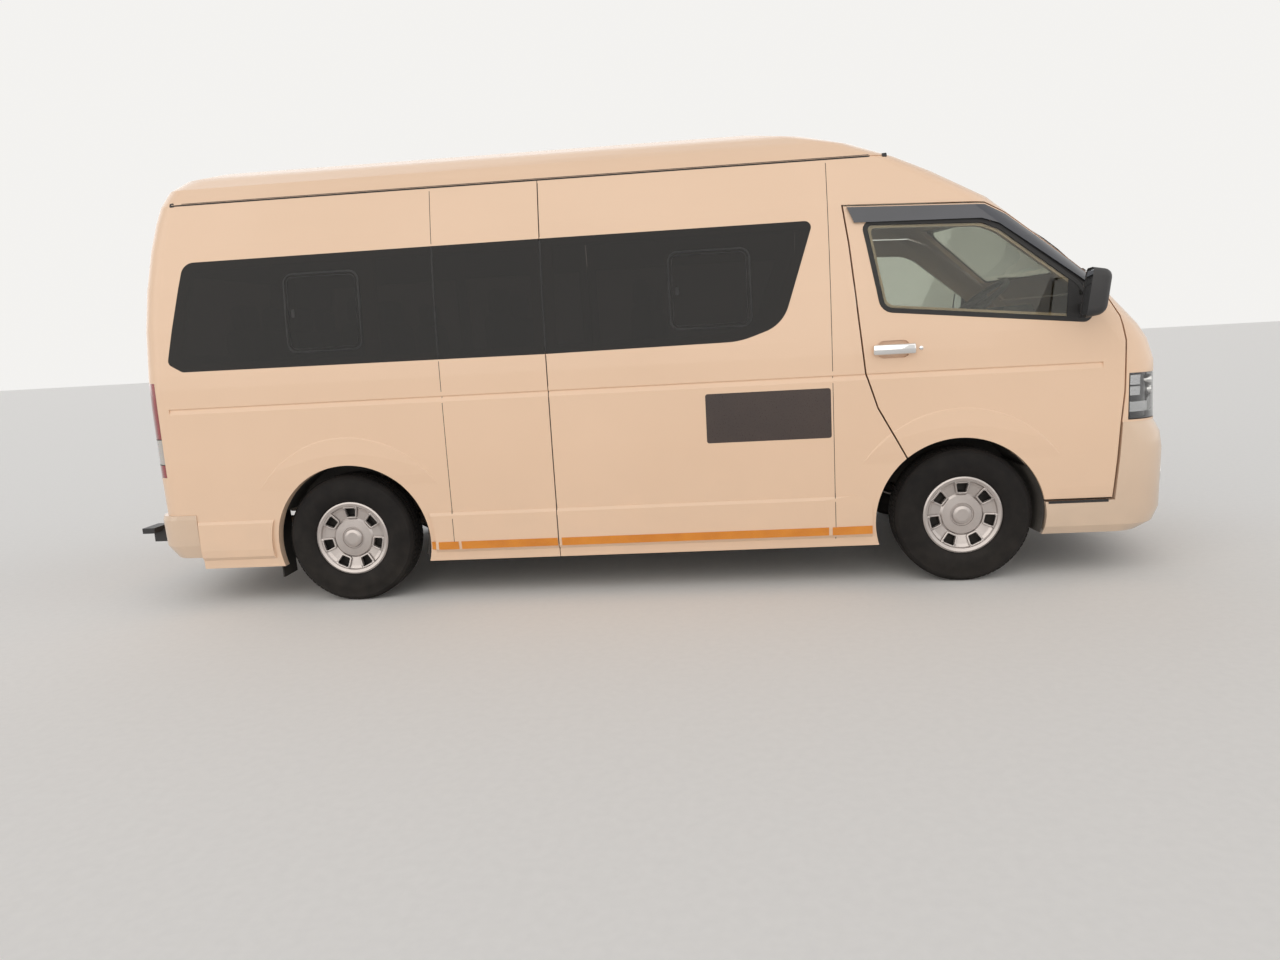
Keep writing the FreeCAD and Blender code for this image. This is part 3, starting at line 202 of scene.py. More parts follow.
# Each look: colour, shade, size of patches, grain and range of roughness, then what else it has
looks = {
    "paint": ((0.87, 0.625, 0.447), (0.84, 0.6, 0.425), 1.3, 25.0, (0.25, 0.265),
        {"coat": 0.3, "shine": 0.35, "bump": (0.008, 0.0002), "dust": ((0.46, 0.4, 0.33), 0.16, 0.75)}),
    "bumperPaint": ((0.76, 0.58, 0.43), (0.72, 0.54, 0.4), 2.0, 40.0, (0.28, 0.36),
        {"coat": 0.5, "bump": (0.015, 0.0002), "dust": ((0.42, 0.36, 0.29), 0.3, 0.6)}),
    "blackPlastic": ((0.018, 0.018, 0.02), (0.032, 0.031, 0.032), 3.0, 900.0, (0.42, 0.58),
        {"bump": (0.25, 0.0003)}),
    "seal": ((0.01, 0.01, 0.011), (0.022, 0.021, 0.021), 3.0, 500.0, (0.55, 0.7), {"bump": (0.15, 0.0002)}),
    "visorSmoke": ((0.03, 0.034, 0.05), (0.02, 0.024, 0.036), 3.0, 80.0, (0.06, 0.12),
        {"coat": 0.6, "bump": (0.02, 0.0003)}),
    "tyre": ((0.008, 0.007, 0.007), (0.015, 0.013, 0.012), 14.0, 700.0, (0.62, 0.82),
        {"bump": (0.3, 0.0004), "dust": ((0.1, 0.088, 0.075), 0.18, 0.5), "shine": 0.2}),
    "wheelSilver": ((0.52, 0.475, 0.455), (0.46, 0.42, 0.4), 6.0, 800.0, (0.26, 0.38),
        {"metal": 0.75, "coat": 0.4, "bump": (0.06, 0.0002)}),
    "wheelDark": ((0.03, 0.028, 0.027), (0.06, 0.052, 0.045), 20.0, 300.0, (0.5, 0.75),
        {"metal": 0.3, "bump": (0.2, 0.0005)}),
    "chrome": ((0.8, 0.79, 0.78), (0.74, 0.73, 0.72), 9.0, 200.0, (0.05, 0.1),
        {"metal": 1.0, "bump": (0.02, 0.0002)}),
    "grilleTrim": ((0.52, 0.51, 0.5), (0.44, 0.43, 0.42), 9.0, 300.0, (0.16, 0.24),
        {"metal": 0.9, "coat": 0.3, "bump": (0.03, 0.0002)}),
    "underbody": ((0.03, 0.029, 0.029), (0.06, 0.055, 0.048), 5.0, 160.0, (0.6, 0.85),
        {"bump": (0.5, 0.0012), "dust": ((0.13, 0.11, 0.09), 0.4, 0.7)}),
    "steel": ((0.075, 0.07, 0.066), (0.14, 0.1, 0.07), 9.0, 260.0, (0.45, 0.7),
        {"metal": 0.6, "bump": (0.35, 0.0007)}),
    "castIron": ((0.07, 0.068, 0.066), (0.12, 0.1, 0.085), 8.0, 220.0, (0.55, 0.75),
        {"metal": 0.5, "bump": (0.5, 0.001)}),
    "dashGrey": ((0.05, 0.048, 0.046), (0.066, 0.062, 0.058), 5.0, 900.0, (0.55, 0.7),
        {"bump": (0.45, 0.0004)}),
    "flapRubber": ((0.012, 0.012, 0.012), (0.022, 0.021, 0.02), 3.0, 400.0, (0.6, 0.8),
        {"bump": (0.25, 0.0004), "dust": ((0.12, 0.1, 0.08), 0.4, 0.5)}),
    "amberTape": ((0.78, 0.28, 0.02), (0.68, 0.22, 0.015), 10.0, 500.0, (0.18, 0.3),
        {"coat": 0.6, "bump": (0.1, 0.0002)}),
    "signPlate": ((0.03, 0.017, 0.014), (0.044, 0.026, 0.02), 5.0, 200.0, (0.25, 0.4),
        {"coat": 0.3, "bump": (0.05, 0.0003)}),
    "mirrorGlass": ((0.7, 0.72, 0.74), (0.66, 0.68, 0.7), 4.0, 50.0, (0.01, 0.03), {"metal": 1.0}),
    "lampSilver": ((0.74, 0.74, 0.75), (0.66, 0.66, 0.67), 9.0, 150.0, (0.1, 0.2),
        {"metal": 0.9, "bump": (0.05, 0.0004)}),
    "lampGrey": ((0.1, 0.1, 0.105), (0.07, 0.07, 0.075), 9.0, 300.0, (0.25, 0.4),
        {"metal": 0.4, "bump": (0.05, 0.0002)}),
}
# Glass: tint, what shadow rays see, and refraction
glasses = {
    "clearGlass": ((0.50, 0.52, 0.46), (0.58, 0.61, 0.56), 1.42),
    "darkGlass": ((0.045, 0.037, 0.034), (0.06, 0.05, 0.05), 1.34),
    "lampLens": ((0.92, 0.93, 0.93), (0.85, 0.86, 0.86), 1.48)
}
lenses = {
    "redLens": ((0.42, 0.012, 0.014), (0.20, 0.004, 0.006)),
    "paleLens": ((0.62, 0.58, 0.54), (0.40, 0.36, 0.33))
}
lensPitch = 0.011
cloth = {"color": (0.115, 0.110, 0.108), "dark": (0.055, 0.053, 0.052), "pitch": 0.003, "worn": 1.25}


def makeGlass(name, tint, cast, bend):
    material, tree, shader = newMaterial(name)
    film = ranged(tree, noiseAt(tree, 2.5, 5.0), 0.0, 1.0)
    feed(tree, shader, {"Base Color": mixColors(tree, film, tint, scaled(tint, 0.9)), "Roughness": 0.0,
                        "Transmission Weight": 1.0, "IOR": bend})
    addBump(tree, noiseAt(tree, 1.1, 1.0), 0.02, 0.002)
    shadow = tree.nodes.new("ShaderNodeLightPath").outputs["Is Shadow Ray"]
    clear = addNode(tree, "BsdfTransparent", {"Color": cast})
    mixShaders(tree, shadow, shader.outputs[0], clear.outputs[0], "Material Output")
    return material


def makeLens(name, color, deep):
    material, tree, shader = newMaterial(name)
    cells = addNode(tree, "TexVoronoi", {"Vector": objectSpot(tree), "Scale": 1.0 / lensPitch,
                                         "Randomness": 0.0}, distance="CHEBYCHEV").outputs["Distance"]
    feed(tree, shader, {"Base Color": mixColors(tree, ranged(tree, cells, 0.0, 1.0, 0.0, 0.6), color, deep),
                        "Roughness": ranged(tree, noiseAt(tree, 40.0), 0.08, 0.16),
                        "Coat Weight": 1.0, "Subsurface Weight": 0.15})
    addBump(tree, cells, 0.35, 0.002)
    return material


def makeCloth(name, look):
    material, tree, shader = newMaterial(name)
    height = None
    for axis in ("X", "Y", "Z"):  # one weave of threads along each axis
        wave = addNode(tree, "TexWave", {"Vector": objectSpot(tree), "Scale": 0.314 / look["pitch"],
                                         "Distortion": 0.6, "Detail": 1.0}, bands_direction=axis)
        weave = wave.outputs["Fac"]
        if height is None:
            height = weave
        else:
            height = addNode(tree, "Math", {0: weave, 1: 0.5, 2: height}, operation="MULTIPLY_ADD").outputs[0]
    thread = mixColors(tree, ranged(tree, height, 0, 1, 0.2, 1.6), look["dark"], look["color"])
    wear = ranged(tree, noiseAt(tree, 5.0), 0, 0.6)
    feed(tree, shader, {"Base Color": mixColors(tree, wear, thread, scaled(look["color"], look["worn"])),
                        "Roughness": ranged(tree, noiseAt(tree, 300.0), 0.8, 0.95), "Sheen Weight": 0.3})
    addBump(tree, height, 0.4, 0.0008)
    return material


finishes = {name: makeFinish(name, *look) for name, look in looks.items()}
finishes.update({name: makeGlass(name, *glass) for name, glass in glasses.items()})
finishes.update({name: makeLens(name, *colors) for name, colors in lenses.items()})
finishes["seatCloth"] = makeCloth("seatCloth", cloth)

slotFinish = {
    "paint": "paint", "clear_glass": "clearGlass", "dark_glass": "darkGlass", "lamp_clear": "lampLens",
    "lamp_red": "redLens", "black_plastic": "blackPlastic", "grille_trim": "grilleTrim",
    "visor_smoke": "visorSmoke", "underbody": "underbody", "dash_grey": "dashGrey", "seat_cloth": "seatCloth",
    "engine_iron": "castIron", "steel_dark": "steel", "tyre_rubber": "tyre", "wheel_silver": "wheelSilver",
    "flap_rubber": "flapRubber"
}
for name, node in nodes.items():
    for slot in node.material_slots:
        slot.material = finishes[slotFinish[slot.material.name.split(".")[0]]]
for name in ("front_bumper", "rear_bumper"):
    nodes[name].material_slots[0].material = finishes["bumperPaint"]
print("finishes ready", len(finishes))


def addFloor(color, size=60):
    bm = bmesh.new()
    bmesh.ops.create_grid(bm, x_segments=1, y_segments=1, size=size)
    floor = addObject("floor", meshOf("floor", bm))
    material, tree, shader = newMaterial("floorPale")
    speck = ranged(tree, noiseAt(tree, 30.0, 6.0), 0, 1)
    feed(tree, shader, {"Base Color": mixColors(tree, speck, color, scaled(color, 0.97)), "Roughness": 0.85})
    floor.data.materials.append(material)


addFloor(lightSetup["floor"])


# Helpers for pieces
def finishPiece(name, bm, finish, body, sharp=35, replaces=()):
    for face in bm.faces:
        face.smooth = True
    for edge in bm.edges:
        if len(edge.link_faces) == 2 and edge.calc_face_angle(0) > radians(sharp):
            edge.smooth = False
    piece = addObject(name, meshOf(name, bm))
    for item in (finish if isinstance(finish, list) else [finish]):
        piece.data.materials.append(finishes[item])
    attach(piece, body)
    if replaces:
        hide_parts(*replaces)
    return piece


# Tyres with tread, in place of the plain ones. Wall: rise over the bead and inset from the side
tyre = {
    "outer": 0.335, "bead": 0.192, "blocks": 78, "tread": 0.007, "gap": 0.0022, "half": 0.07, "crown": 0.0022,
    "sunk": 0.0006, "lanes": ((0.041, 0.068), (0.013, 0.033), (-1, 0.005)),
    "wall": ((0.0, 0.024), (0.006, 0.014), (0.014, 0.010), (0.032, 0.004), (0.038, 0.0035), (0.060, 0.0005),
        (0.078, 0.002), (0.084, 0.0045), (0.100, 0.007), (0.112, 0.010), (0.118, 0.010)),
    "shoulder": (0.014, 0.018), "edge": 0.030,
    "ribs": (-0.068, -0.040, -0.034, -0.012, -0.006, 0.006, 0.012, 0.034, 0.040, 0.068)
}


def addTyre(corner):
    name = "tyre_" + corner
    low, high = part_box(name)
    half = (high[1] - low[1]) / 2
    base = tyre["outer"] - tyre["tread"]
    flank = [(tyre["bead"] + rise, -half + inset) for rise, inset in tyre["wall"]]
    drop, inset = tyre["shoulder"]
    flank += [(tyre["outer"] - drop, -half + inset), (base, -half + tyre["edge"])]
    profile = flank + [(base, across) for across in tyre["ribs"]]
    profile += [(radius, -across) for radius, across in reversed(flank)]
    bm = bmesh.new()
    verts = [bm.verts.new((0, across, radius)) for radius, across in profile]
    edges = [bm.edges.new(pair) for pair in zip(verts, verts[1:])]
    bmesh.ops.spin(bm, geom=verts + edges, cent=(0, 0, 0), axis=(0, 1, 0), angle=2 * pi,
                   steps=tyre["blocks"] * 2, use_merge=True)
    bmesh.ops.recalc_face_normals(bm, faces=bm.faces)
    blocks = {}
    for face in bm.faces:
        spot = face.calc_center_median()
        inLane = any(first < abs(spot.y) < last for first, last in tyre["lanes"])
        if hypot(spot.x, spot.z) > base - 0.004 and abs(spot.y) < tyre["half"] and inLane:
            turn = atan2(spot.z, spot.x) % (2 * pi) / (2 * pi) * tyre["blocks"]
            shift = 0.5 if spot.y > 0.013 else 0.0
            number = int(turn + shift + 1e-6) % tyre["blocks"]
            blocks.setdefault((round(spot.y, 2), number), []).append(face)
    for group in blocks.values():
        bmesh.ops.inset_region(bm, faces=group, thickness=tyre["gap"], depth=0, use_even_offset=True)
        for face in group:
            for vert in face.verts:
                spot = Vector((vert.co.x, 0, vert.co.z))
                if spot.length < base + 0.001:
                    crown = tyre["crown"] * (vert.co.y / tyre["half"]) ** 2
                    vert.co += spot.normalized() * (tyre["tread"] - tyre["sunk"] - crown)
    bmesh.ops.translate(bm, verts=bm.verts, vec=middle(name))
    finishPiece("tread_" + corner, bm, "tyre", "wheel_" + corner, 28, [name])


for corner, way in wheels:
    addTyre(corner)
print("tyres ready")


# Helpers that lay pieces on the body's skin
skinParts = ("roof", "front", "side", "sliding", "door", "tailgate", "bonnet", "windscreen", "rear", "tail",
             "headlamps")
skinNames = [name for name in nodes if name.split("_")[0] in skinParts
             and not any(word in name for word in ("axle", "seats", "suspension"))]


def skinOf(names):
    bm = bmesh.new()
    for name in names:
        bm.from_mesh(nodes[name].data)
    tree = BVHTree.FromBMesh(bm)
    bm.free()
    return tree


bodySkin = skinOf(skinNames)
lookWays = {"right": (Vector((0, 1, 0)), lambda u, v: Vector((u, -1.5, v))),
            "left": (Vector((0, -1, 0)), lambda u, v: Vector((u, 1.5, v))),
            "front": (Vector((-1, 0, 0)), lambda u, v: Vector((3.5, u, v))),
            "rear": (Vector((1, 0, 0)), lambda u, v: Vector((-3.5, u, v)))}
# Rays beside a spot step over the gaps between panels; the wide last two count only where nothing is hit
skinRays = ((0, 0), (0.007, 0), (-0.007, 0), (0, 0.007), (0, -0.007), (0.03, 0), (-0.03, 0))


def onSkin(look, spot, proud=0.0):
    way, start = lookWays[look]
    best = None
    for aside in skinRays:
        if best and max(map(abs, aside)) > 0.01:
            break
        hit, normal, _, depth = bodySkin.ray_cast(start(spot[0] + aside[0], spot[1] + aside[1]), way)
        if hit is not None and (best is None or depth < best[0] - 0.015):
            best = (depth, normal)
    if best is None:
        raise RuntimeError("no skin behind %s %s" % (look, tuple(spot)))
    depth, normal = best
    if normal.dot(way) > 0:
        normal = -normal
    return start(*spot) + way * depth + normal * proud


def rounded(points, radius, steps=6):
    result = []
    for number, point in enumerate(points):
        corner = Vector(point)
        before = Vector(points[number - 1]) - corner
        after = Vector(points[(number + 1) % len(points)]) - corner
        size = radius[number] if isinstance(radius, tuple) else radius
        half = before.angle(after) / 2
        reach = min(size * cos(half) / sin(half), 0.48 * before.length, 0.48 * after.length)
        size = reach * sin(half) / cos(half)
        first, last = corner + before.normalized() * reach, corner + after.normalized() * reach
        centre = corner + (before.normalized() + after.normalized()).normalized() * size / sin(half)
        for step in range(steps + 1):
            spoke = (first - centre).lerp(last - centre, step / steps)
            result.append(centre + spoke.normalized() * size)
    return result


def dense(points, gap, closed=True):
    result = []
    ends = points[1:] + points[:1] if closed else points[1:]
    for first, last in zip(points, ends):
        first, last = Vector(first), Vector(last)
        count = max(1, int((last - first).length / gap + 0.5))
        result += [first.lerp(last, step / count) for step in range(count)]
    if not closed:
        result.append(Vector(points[-1]))
    return result


# Across a ribbon: place over its width, and height as a share of how far it stands proud
ribbonRows = ((0, 0.0), (0.12, 1.0), (0.88, 1.0), (1, 0.0))


def ribbon(bm, look, path, width, proud, closed=True, gap=0.04, shift=0.0, under=0.001):
    path = dense(path, gap, closed)
    count = len(path) if closed else len(path) - 1
    rows = len(ribbonRows) - 1
    made = bmesh.ops.create_grid(bm, x_segments=count, y_segments=rows, size=1)["verts"]
    for vert in made:
        column = int(round((vert.co.x + 1) / 2 * count))
        place, height = ribbonRows[int(round((vert.co.y + 1) / 2 * rows))]
        here = path[column % len(path)]
        ahead = path[(column + 1) % len(path)] if closed else path[min(column + 1, len(path) - 1)]
        behind = path[(column - 1) % len(path)] if closed else path[max(column - 1, 0)]
        along = (ahead - behind).normalized()
        spot = here + Vector((-along.y, along.x)) * (width * (place - 0.5) + shift)
        vert.co = onSkin(look, spot, -under + (proud + under) * height)
    if closed:
        bmesh.ops.remove_doubles(bm, verts=made, dist=0.00002)
    faceOut({face for vert in made if vert.is_valid for face in vert.link_faces}, look, 0.02)


def faceOut(faces, look, least=0.0):
    for face in faces:
        face.normal_update()
        if face.normal.dot(lookWays[look][0]) > least:
            face.normal_flip()


def patch(bm, look, outline, proud, thick=0.002, grid=0.06):
    outline = [Vector(point) for point in outline]
    face = bm.faces.new([bm.verts.new((point.x, point.y, 0)) for point in outline])
    verts, edges, faces = list(face.verts), list(face.edges), [face]
    for axis in (0, 1):
        low, high = min(p[axis] for p in outline), max(p[axis] for p in outline)
        count = int((high - low) / grid)
        for step in range(1, count + 1):
            spot, normal = Vector((0, 0, 0)), Vector((0, 0, 0))
            spot[axis], normal[axis] = low + (high - low) * step / (count + 1), 1
            cut = bmesh.ops.bisect_plane(bm, geom=verts + edges + faces, plane_co=spot, plane_no=normal)
            verts, edges, faces = ([item for item in cut["geom"] if isinstance(item, kind)] for kind in
                                   (bmesh.types.BMVert, bmesh.types.BMEdge, bmesh.types.BMFace))
    for vert in verts:
        vert.co = onSkin(look, (vert.co.x, vert.co.y), proud)
    faceOut(faces, look)
    bmesh.ops.triangulate(bm, faces=[face for face in faces if len(face.verts) > 4])
    kept = {face for vert in verts for face in vert.link_faces}
    bmesh.ops.solidify(bm, geom=list(kept), thickness=thick)


def bevel(bm, geom, offset, segments, affect="EDGES"):
    bmesh.ops.bevel(bm, geom=list(geom), offset=offset, segments=segments, profile=0.5, affect=affect,
                    material=-1)


def thicken(bm, thickness):
    bmesh.ops.solidify(bm, geom=bm.faces[:], thickness=thickness)


def moulding(bm, low, high, radius=0.004, segments=2):
    low, high = Vector(low), Vector(high)
    made = bmesh.ops.create_cube(bm, size=1)["verts"]
    for vert in made:
        vert.co = Vector([centre + share * span for centre, share, span in
                          zip((low + high) / 2, vert.co, high - low)])
    if radius:
        bevel(bm, {edge for vert in made for edge in vert.link_edges}, radius, segments)


def sideMoulding(bm, way, low, high, radius=0.004, segments=2):
    ends = sorted((way * low[1], way * high[1]))
    moulding(bm, (low[0], ends[0], low[2]), (high[0], ends[1], high[2]), radius, segments)


def turned(bm, profile, centre, axis, steps=32):
    start = [bm.verts.new((radius, 0, along)) for radius, along in profile]
    edges = [bm.edges.new(pair) for pair in zip(start, start[1:])]
    bmesh.ops.spin(bm, geom=start + edges, cent=(0, 0, 0), axis=(0, 0, 1), angle=2 * pi, steps=steps,
                   use_merge=True)
    linked, queue = set(start), list(start)
    while queue:
        for edge in queue.pop().link_edges:
            for vert in edge.verts:
                if vert not in linked:
                    linked.add(vert)
                    queue.append(vert)
    poles = [vert for vert in linked if hypot(vert.co.x, vert.co.y) < 1e-5]
    bmesh.ops.remove_doubles(bm, verts=poles, dist=1e-4)
    linked = [vert for vert in linked if vert.is_valid]
    bmesh.ops.recalc_face_normals(bm, faces=list({face for vert in linked for face in vert.link_faces}))
    turn = Vector(axis).to_track_quat("Z", "Y").to_matrix().to_4x4()
    bmesh.ops.transform(bm, matrix=Matrix.Translation(centre) @ turn, verts=linked)


def boxLine(x0, x1, z0, z1):
    return [(x0, z0), (x1, z0), (x1, z1), (x0, z1)]


def frontwise(points):
    return [(fx(place[0]), *place[1:]) for place in points]


# Side glass: pane joints, slider frames and latches
sideGlass = {
    "joints": (-2.559, -2.015), "height": (1.242, 1.786), "line": 0.009, "frame": 0.010,
    "groove": (0.003, 0.016), "sliders": ((-3.326, -2.942, 1.310, 1.697), (-1.391, -1.000, 1.315, 1.684)),
    "radius": 0.045, "latch": (0.03, 0.016, 0.02, 0.005)
}


def addSideGlassTrim(side):
    bm = bmesh.new()
    for x in sideGlass["joints"]:
        ribbon(bm, side, [(fx(x), z) for z in sideGlass["height"]], sideGlass["line"], 0.0012, closed=False)
    for x0, x1, z0, z1 in sideGlass["sliders"]:
        frameLine = rounded(frontwise(boxLine(x0, x1, z0, z1)), sideGlass["radius"])
        ribbon(bm, side, frameLine, sideGlass["frame"], 0.0016)
        ribbon(bm, side, frameLine, sideGlass["groove"][0], 0.0016, shift=sideGlass["groove"][1])
        start, wide, half, radius = sideGlass["latch"]
        x, z = x0 + start, (z0 + z1) / 2
        patch(bm, side, rounded(frontwise(boxLine(x, x + wide, z - half, z + half)), radius), 0.0005, 0.003)
    finishPiece("glass_trim_" + side, bm, "seal", "body")


# Front door windows: black seals, and the black sail behind each mirror
doorSeal = {
    "outline": [(-0.455, 1.765), (0.090, 1.742), (0.172, 1.705), (0.520, 1.428), (0.590, 1.330),
        (0.572, 1.252), (-0.375, 1.352)], "radii": (0.03, 0.05, 0.08, 0.08, 0.03, 0.03, 0.06), "width": 0.024,
    "pillar": [(0.110, 1.737), (0.172, 1.705), (0.520, 1.428), (0.550, 1.392)], "shift": 0.020,
    "sail": [(0.470, 1.262), (0.478, 1.455), (0.530, 1.430), (0.596, 1.340), (0.572, 1.256)]
}


def addDoorTrim(side):
    bm = bmesh.new()
    ribbon(bm, side, rounded(frontwise(doorSeal["outline"]), doorSeal["radii"]), doorSeal["width"], 0.003)
    ribbon(bm, side, frontwise(doorSeal["pillar"]), doorSeal["width"], 0.0025, closed=False,
           shift=doorSeal["shift"])
    patch(bm, side, rounded(frontwise(doorSeal["sail"]), 0.01), 0.0015, 0.003)
    finishPiece("window_seal_" + side, bm, "seal", "door_" + side)


# Amber strips along the sill; on the left the last one ends further back, at the door
sillStrips = {
    "runs": ((-2.683, -2.537), (-2.522, -2.021), (-2.000, -0.655), (-0.637, -0.441)), "low": 0.2625,
    "high": 0.303, "leftEnd": -0.56, "proud": 0.0032, "thick": 0.0028
}


def addSillStrips(side):
    bm = bmesh.new()
    for x0, x1 in sillStrips["runs"]:
        if side == "left":
            x1 = min(x1, sillStrips["leftEnd"])
        patch(bm, side, frontwise(boxLine(x0, x1, sillStrips["low"], sillStrips["high"])),
              sillStrips["proud"], sillStrips["thick"], 0.05)
    finishPiece("sill_strips_" + side, bm, "amberTape", "body")


# Bare dark sign on the right side
signPlate = {"box": (-1.240, -0.631, 0.751, 0.994), "corner": 0.012}


def addSign():
    bm = bmesh.new()
    patch(bm, "right", rounded(frontwise(boxLine(*signPlate["box"])), signPlate["corner"]), 0.0006, 0.0014,
          0.08)
    finishPiece("side_sign", bm, "signPlate", "body")


# Chrome door handles over the CAD grips, and lock barrels
doorHandle = {
    "x": (-0.430, -0.229), "z": (1.139, 1.189), "proud": (0.012, 0.0365), "panel": (-0.33, 1.10),
    "round": 0.009, "lock": (-0.200, 1.164),
    "barrel": ((0.0, 0.0045), (0.007, 0.0045), (0.0095, 0.003), (0.0105, 0.0), (0.0105, -0.002))
}


def addHandle(side, way):
    bm = bmesh.new()
    panel, lock = (onSkin(side, frontwise([doorHandle[key]])[0]) for key in ("panel", "lock"))
    ends = sorted(panel.y + way * proud for proud in doorHandle["proud"])
    (x0, x1), (z0, z1) = doorHandle["x"], doorHandle["z"]
    moulding(bm, (fx(x0), ends[0], z0), (fx(x1), ends[1], z1), doorHandle["round"], 3)
    x, z = doorHandle["lock"]
    turned(bm, doorHandle["barrel"], (fx(x), lock.y, z), (0, way, 0), 20)
    finishPiece("door_handle_" + side, bm, "chrome", "door_" + side)


# Black strip under each front door, along the top of the bumper's side, and a dark filler behind it
doorStrip = {
    "x": (0.400, 0.680), "z": 0.385, "width": 0.014, "proud": 0.002,
    "filler": ((0.380, 0.862, 0.330), (0.690, 0.876, 0.425))
}


def addDoorStrip(side, way):
    bm = bmesh.new()
    ribbon(bm, side, [(fx(x), doorStrip["z"]) for x in doorStrip["x"]], doorStrip["width"],
           doorStrip["proud"], closed=False)
    sideMoulding(bm, way, *frontwise(doorStrip["filler"]))
    finishPiece("door_strip_" + side, bm, "seal", "body")


# Body seams as thin dark lines over the panel joints; the left side has only the rearmost
seams = {
    "upright": ((-2.559, 0.30, 1.225), (-2.559, 1.80, 2.06), (-2.015, 0.24, 1.225), (-2.015, 1.80, 2.06),
        (-0.620, 0.24, 2.06)), "leftLast": -2.559, "width": 0.0035
}


def addSeams(side):
    bm = bmesh.new()
    for x, z0, z1 in seams["upright"]:
        if side == "right" or x == seams["leftLast"]:
            ribbon(bm, side, [(fx(x), z0), (fx(x), z1)], seams["width"], 0.0004, closed=False, gap=0.03)
    finishPiece("seams_" + side, bm, "seal", "body")


# Dark strip under the roof lip, with end caps: painted shadow of the drip rail, laid along the roof joint
gutterShadowStrip = {"z": 2.079, "x": (-3.90, -0.34), "width": 0.012, "proud": 0.002, "cap": (0.012, 2.071, 2.089)}


def addGutterShadow(side):
    bm = bmesh.new()
    half, low, high = gutterShadowStrip["cap"]
    for x in gutterShadowStrip["x"]:
        patch(bm, side, rounded(frontwise(boxLine(x - half, x + half, low, high)), 0.004), 0.003, 0.004)
    # painted shadow: a dark strip where the drip rail's shadow falls
    ribbon(bm, side, [(fx(x), gutterShadowStrip["z"]) for x in gutterShadowStrip["x"]], gutterShadowStrip["width"],
           gutterShadowStrip["proud"], closed=False, gap=0.08)
    finishPiece("gutter_shadow_" + side, bm, "seal", "body")


for side, way in sides:
    addSideGlassTrim(side)
    addDoorTrim(side)
    addSillStrips(side)
    addHandle(side, way)
    addDoorStrip(side, way)
    addSeams(side)
    addGutterShadow(side)
addSign()
print("side trim ready")


# Copies of CAD meshes, merged, with only the faces that a piece needs
def copyOf(node, keepFace=None):
    bm = bmesh.new()
    bm.from_mesh(nodes[node].data)
    bmesh.ops.remove_doubles(bm, verts=bm.verts, dist=0.00001)
    bm.normal_update()
    if keepFace:
        spare = [face for face in bm.faces if not keepFace(face.calc_center_median(), face.normal)]
        bmesh.ops.delete(bm, geom=spare, context="FACES")
    return bm


def cutAlong(bm, axis, places):
    for place in places:
        bmesh.ops.bisect_plane(bm, geom=bm.verts[:] + bm.edges[:] + bm.faces[:],
                               plane_co=Vector(axis) * place, plane_no=axis)


def sunk(bm, depth, thickness):
    bm.normal_update()
    steps = [(vert, vert.normal * depth) for vert in bm.verts]
    for vert, step in steps:
        vert.co -= step
    thicken(bm, thickness)


# Headlamps: clear lens, grey shell and chamber, stacked bright blocks and round bowls.
# The bowl's profile gives radius and depth as shares; its middle carries a bulb of its own size
headlamp = {
    "back": (2.42, 0.60), "lens": 0.003, "chamber": 0.036, "block": (0.012, 0.016),
    "blocks": ((2.398, 2.455, 0.936, 0.982), (2.398, 2.455, 0.886, 0.928), (2.398, 2.505, 0.808, 0.856)),
    "bowls": ((0.635, 0.890, 0.048), (0.738, 0.900, 0.038), (0.812, 0.952, 0.026)),
    "bowl": ((1.0, 0.0), (0.92, 0.25), (0.72, 0.62), (0.36, 0.92)), "depth": 0.040, "behind": 0.006,
    "bulb": ((0.010, 1.0), (0.010, 0.5), (0.0, 0.42))
}


def addHeadlamp(side, way):
    def outer(spot, normal):
        out = Vector((spot.x - headlamp["back"][0], spot.y - way * headlamp["back"][1], 0))
        return spot.y * way > 0 and normal.dot(out) > 0.45 * out.length

    def inner(spot, normal):
        return spot.y * way > 0 and not outer(spot, normal)

    for part, keepFace, depth, thick, finish, slot, sharp, replaces in (
            ("lens", outer, 0.0, headlamp["lens"], "lampLens", "lamp_clear", 35, ["headlamps"]),
            ("shell", inner, 0.0, 0.0015, "lampGrey", "grille_trim", 35, ()),
            ("chamber", outer, headlamp["chamber"], 0.001, "lampGrey", "grille_trim", 60, ())):
        bm = copyOf("headlamps", keepFace)
        sunk(bm, depth, thick)
        finishPiece("headlamp_%s_%s" % (part, side), bm, finish, "body", sharp, replaces)
    bm = bmesh.new()
    for back, front, low, high in headlamp["blocks"]:
        block = copyOf("headlamps", outer)
        cutAlong(block, (0, 0, 1), (low, high))
        cutAlong(block, (1, 0, 0), (back, front))
        middles = [(face, face.calc_center_median()) for face in block.faces]
        spare = [face for face, spot in middles if not (low < spot.z < high and back < spot.x < front)]
        bmesh.ops.delete(block, geom=spare, context="FACES")
        sunk(block, *headlamp["block"])
        holder = meshOf("block", block)
        bm.from_mesh(holder)
        bpy.data.meshes.remove(holder)
    finishPiece("headlamp_blocks_" + side, bm, "lampSilver", "body")
    bm = bmesh.new()
    depth = headlamp["depth"]
    for y, z, radius in headlamp["bowls"]:
        front = onSkin("front", (way * (y + radius), z)).x - headlamp["behind"]
        profile = [(radius * wide, -depth * deep) for wide, deep in headlamp["bowl"]]
        profile += [(wide, -depth * deep) for wide, deep in headlamp["bulb"]]
        turned(bm, profile, (front, way * y, z), (1, 0, 0), 36)
    finishPiece("headlamp_bowls_" + side, bm, "chrome", "body", 50)


# Tail lamps: red, clear and red sections in one lens, with dark lines between them
tailLamp = {"cuts": (0.763, 0.768, 0.896, 0.901)}


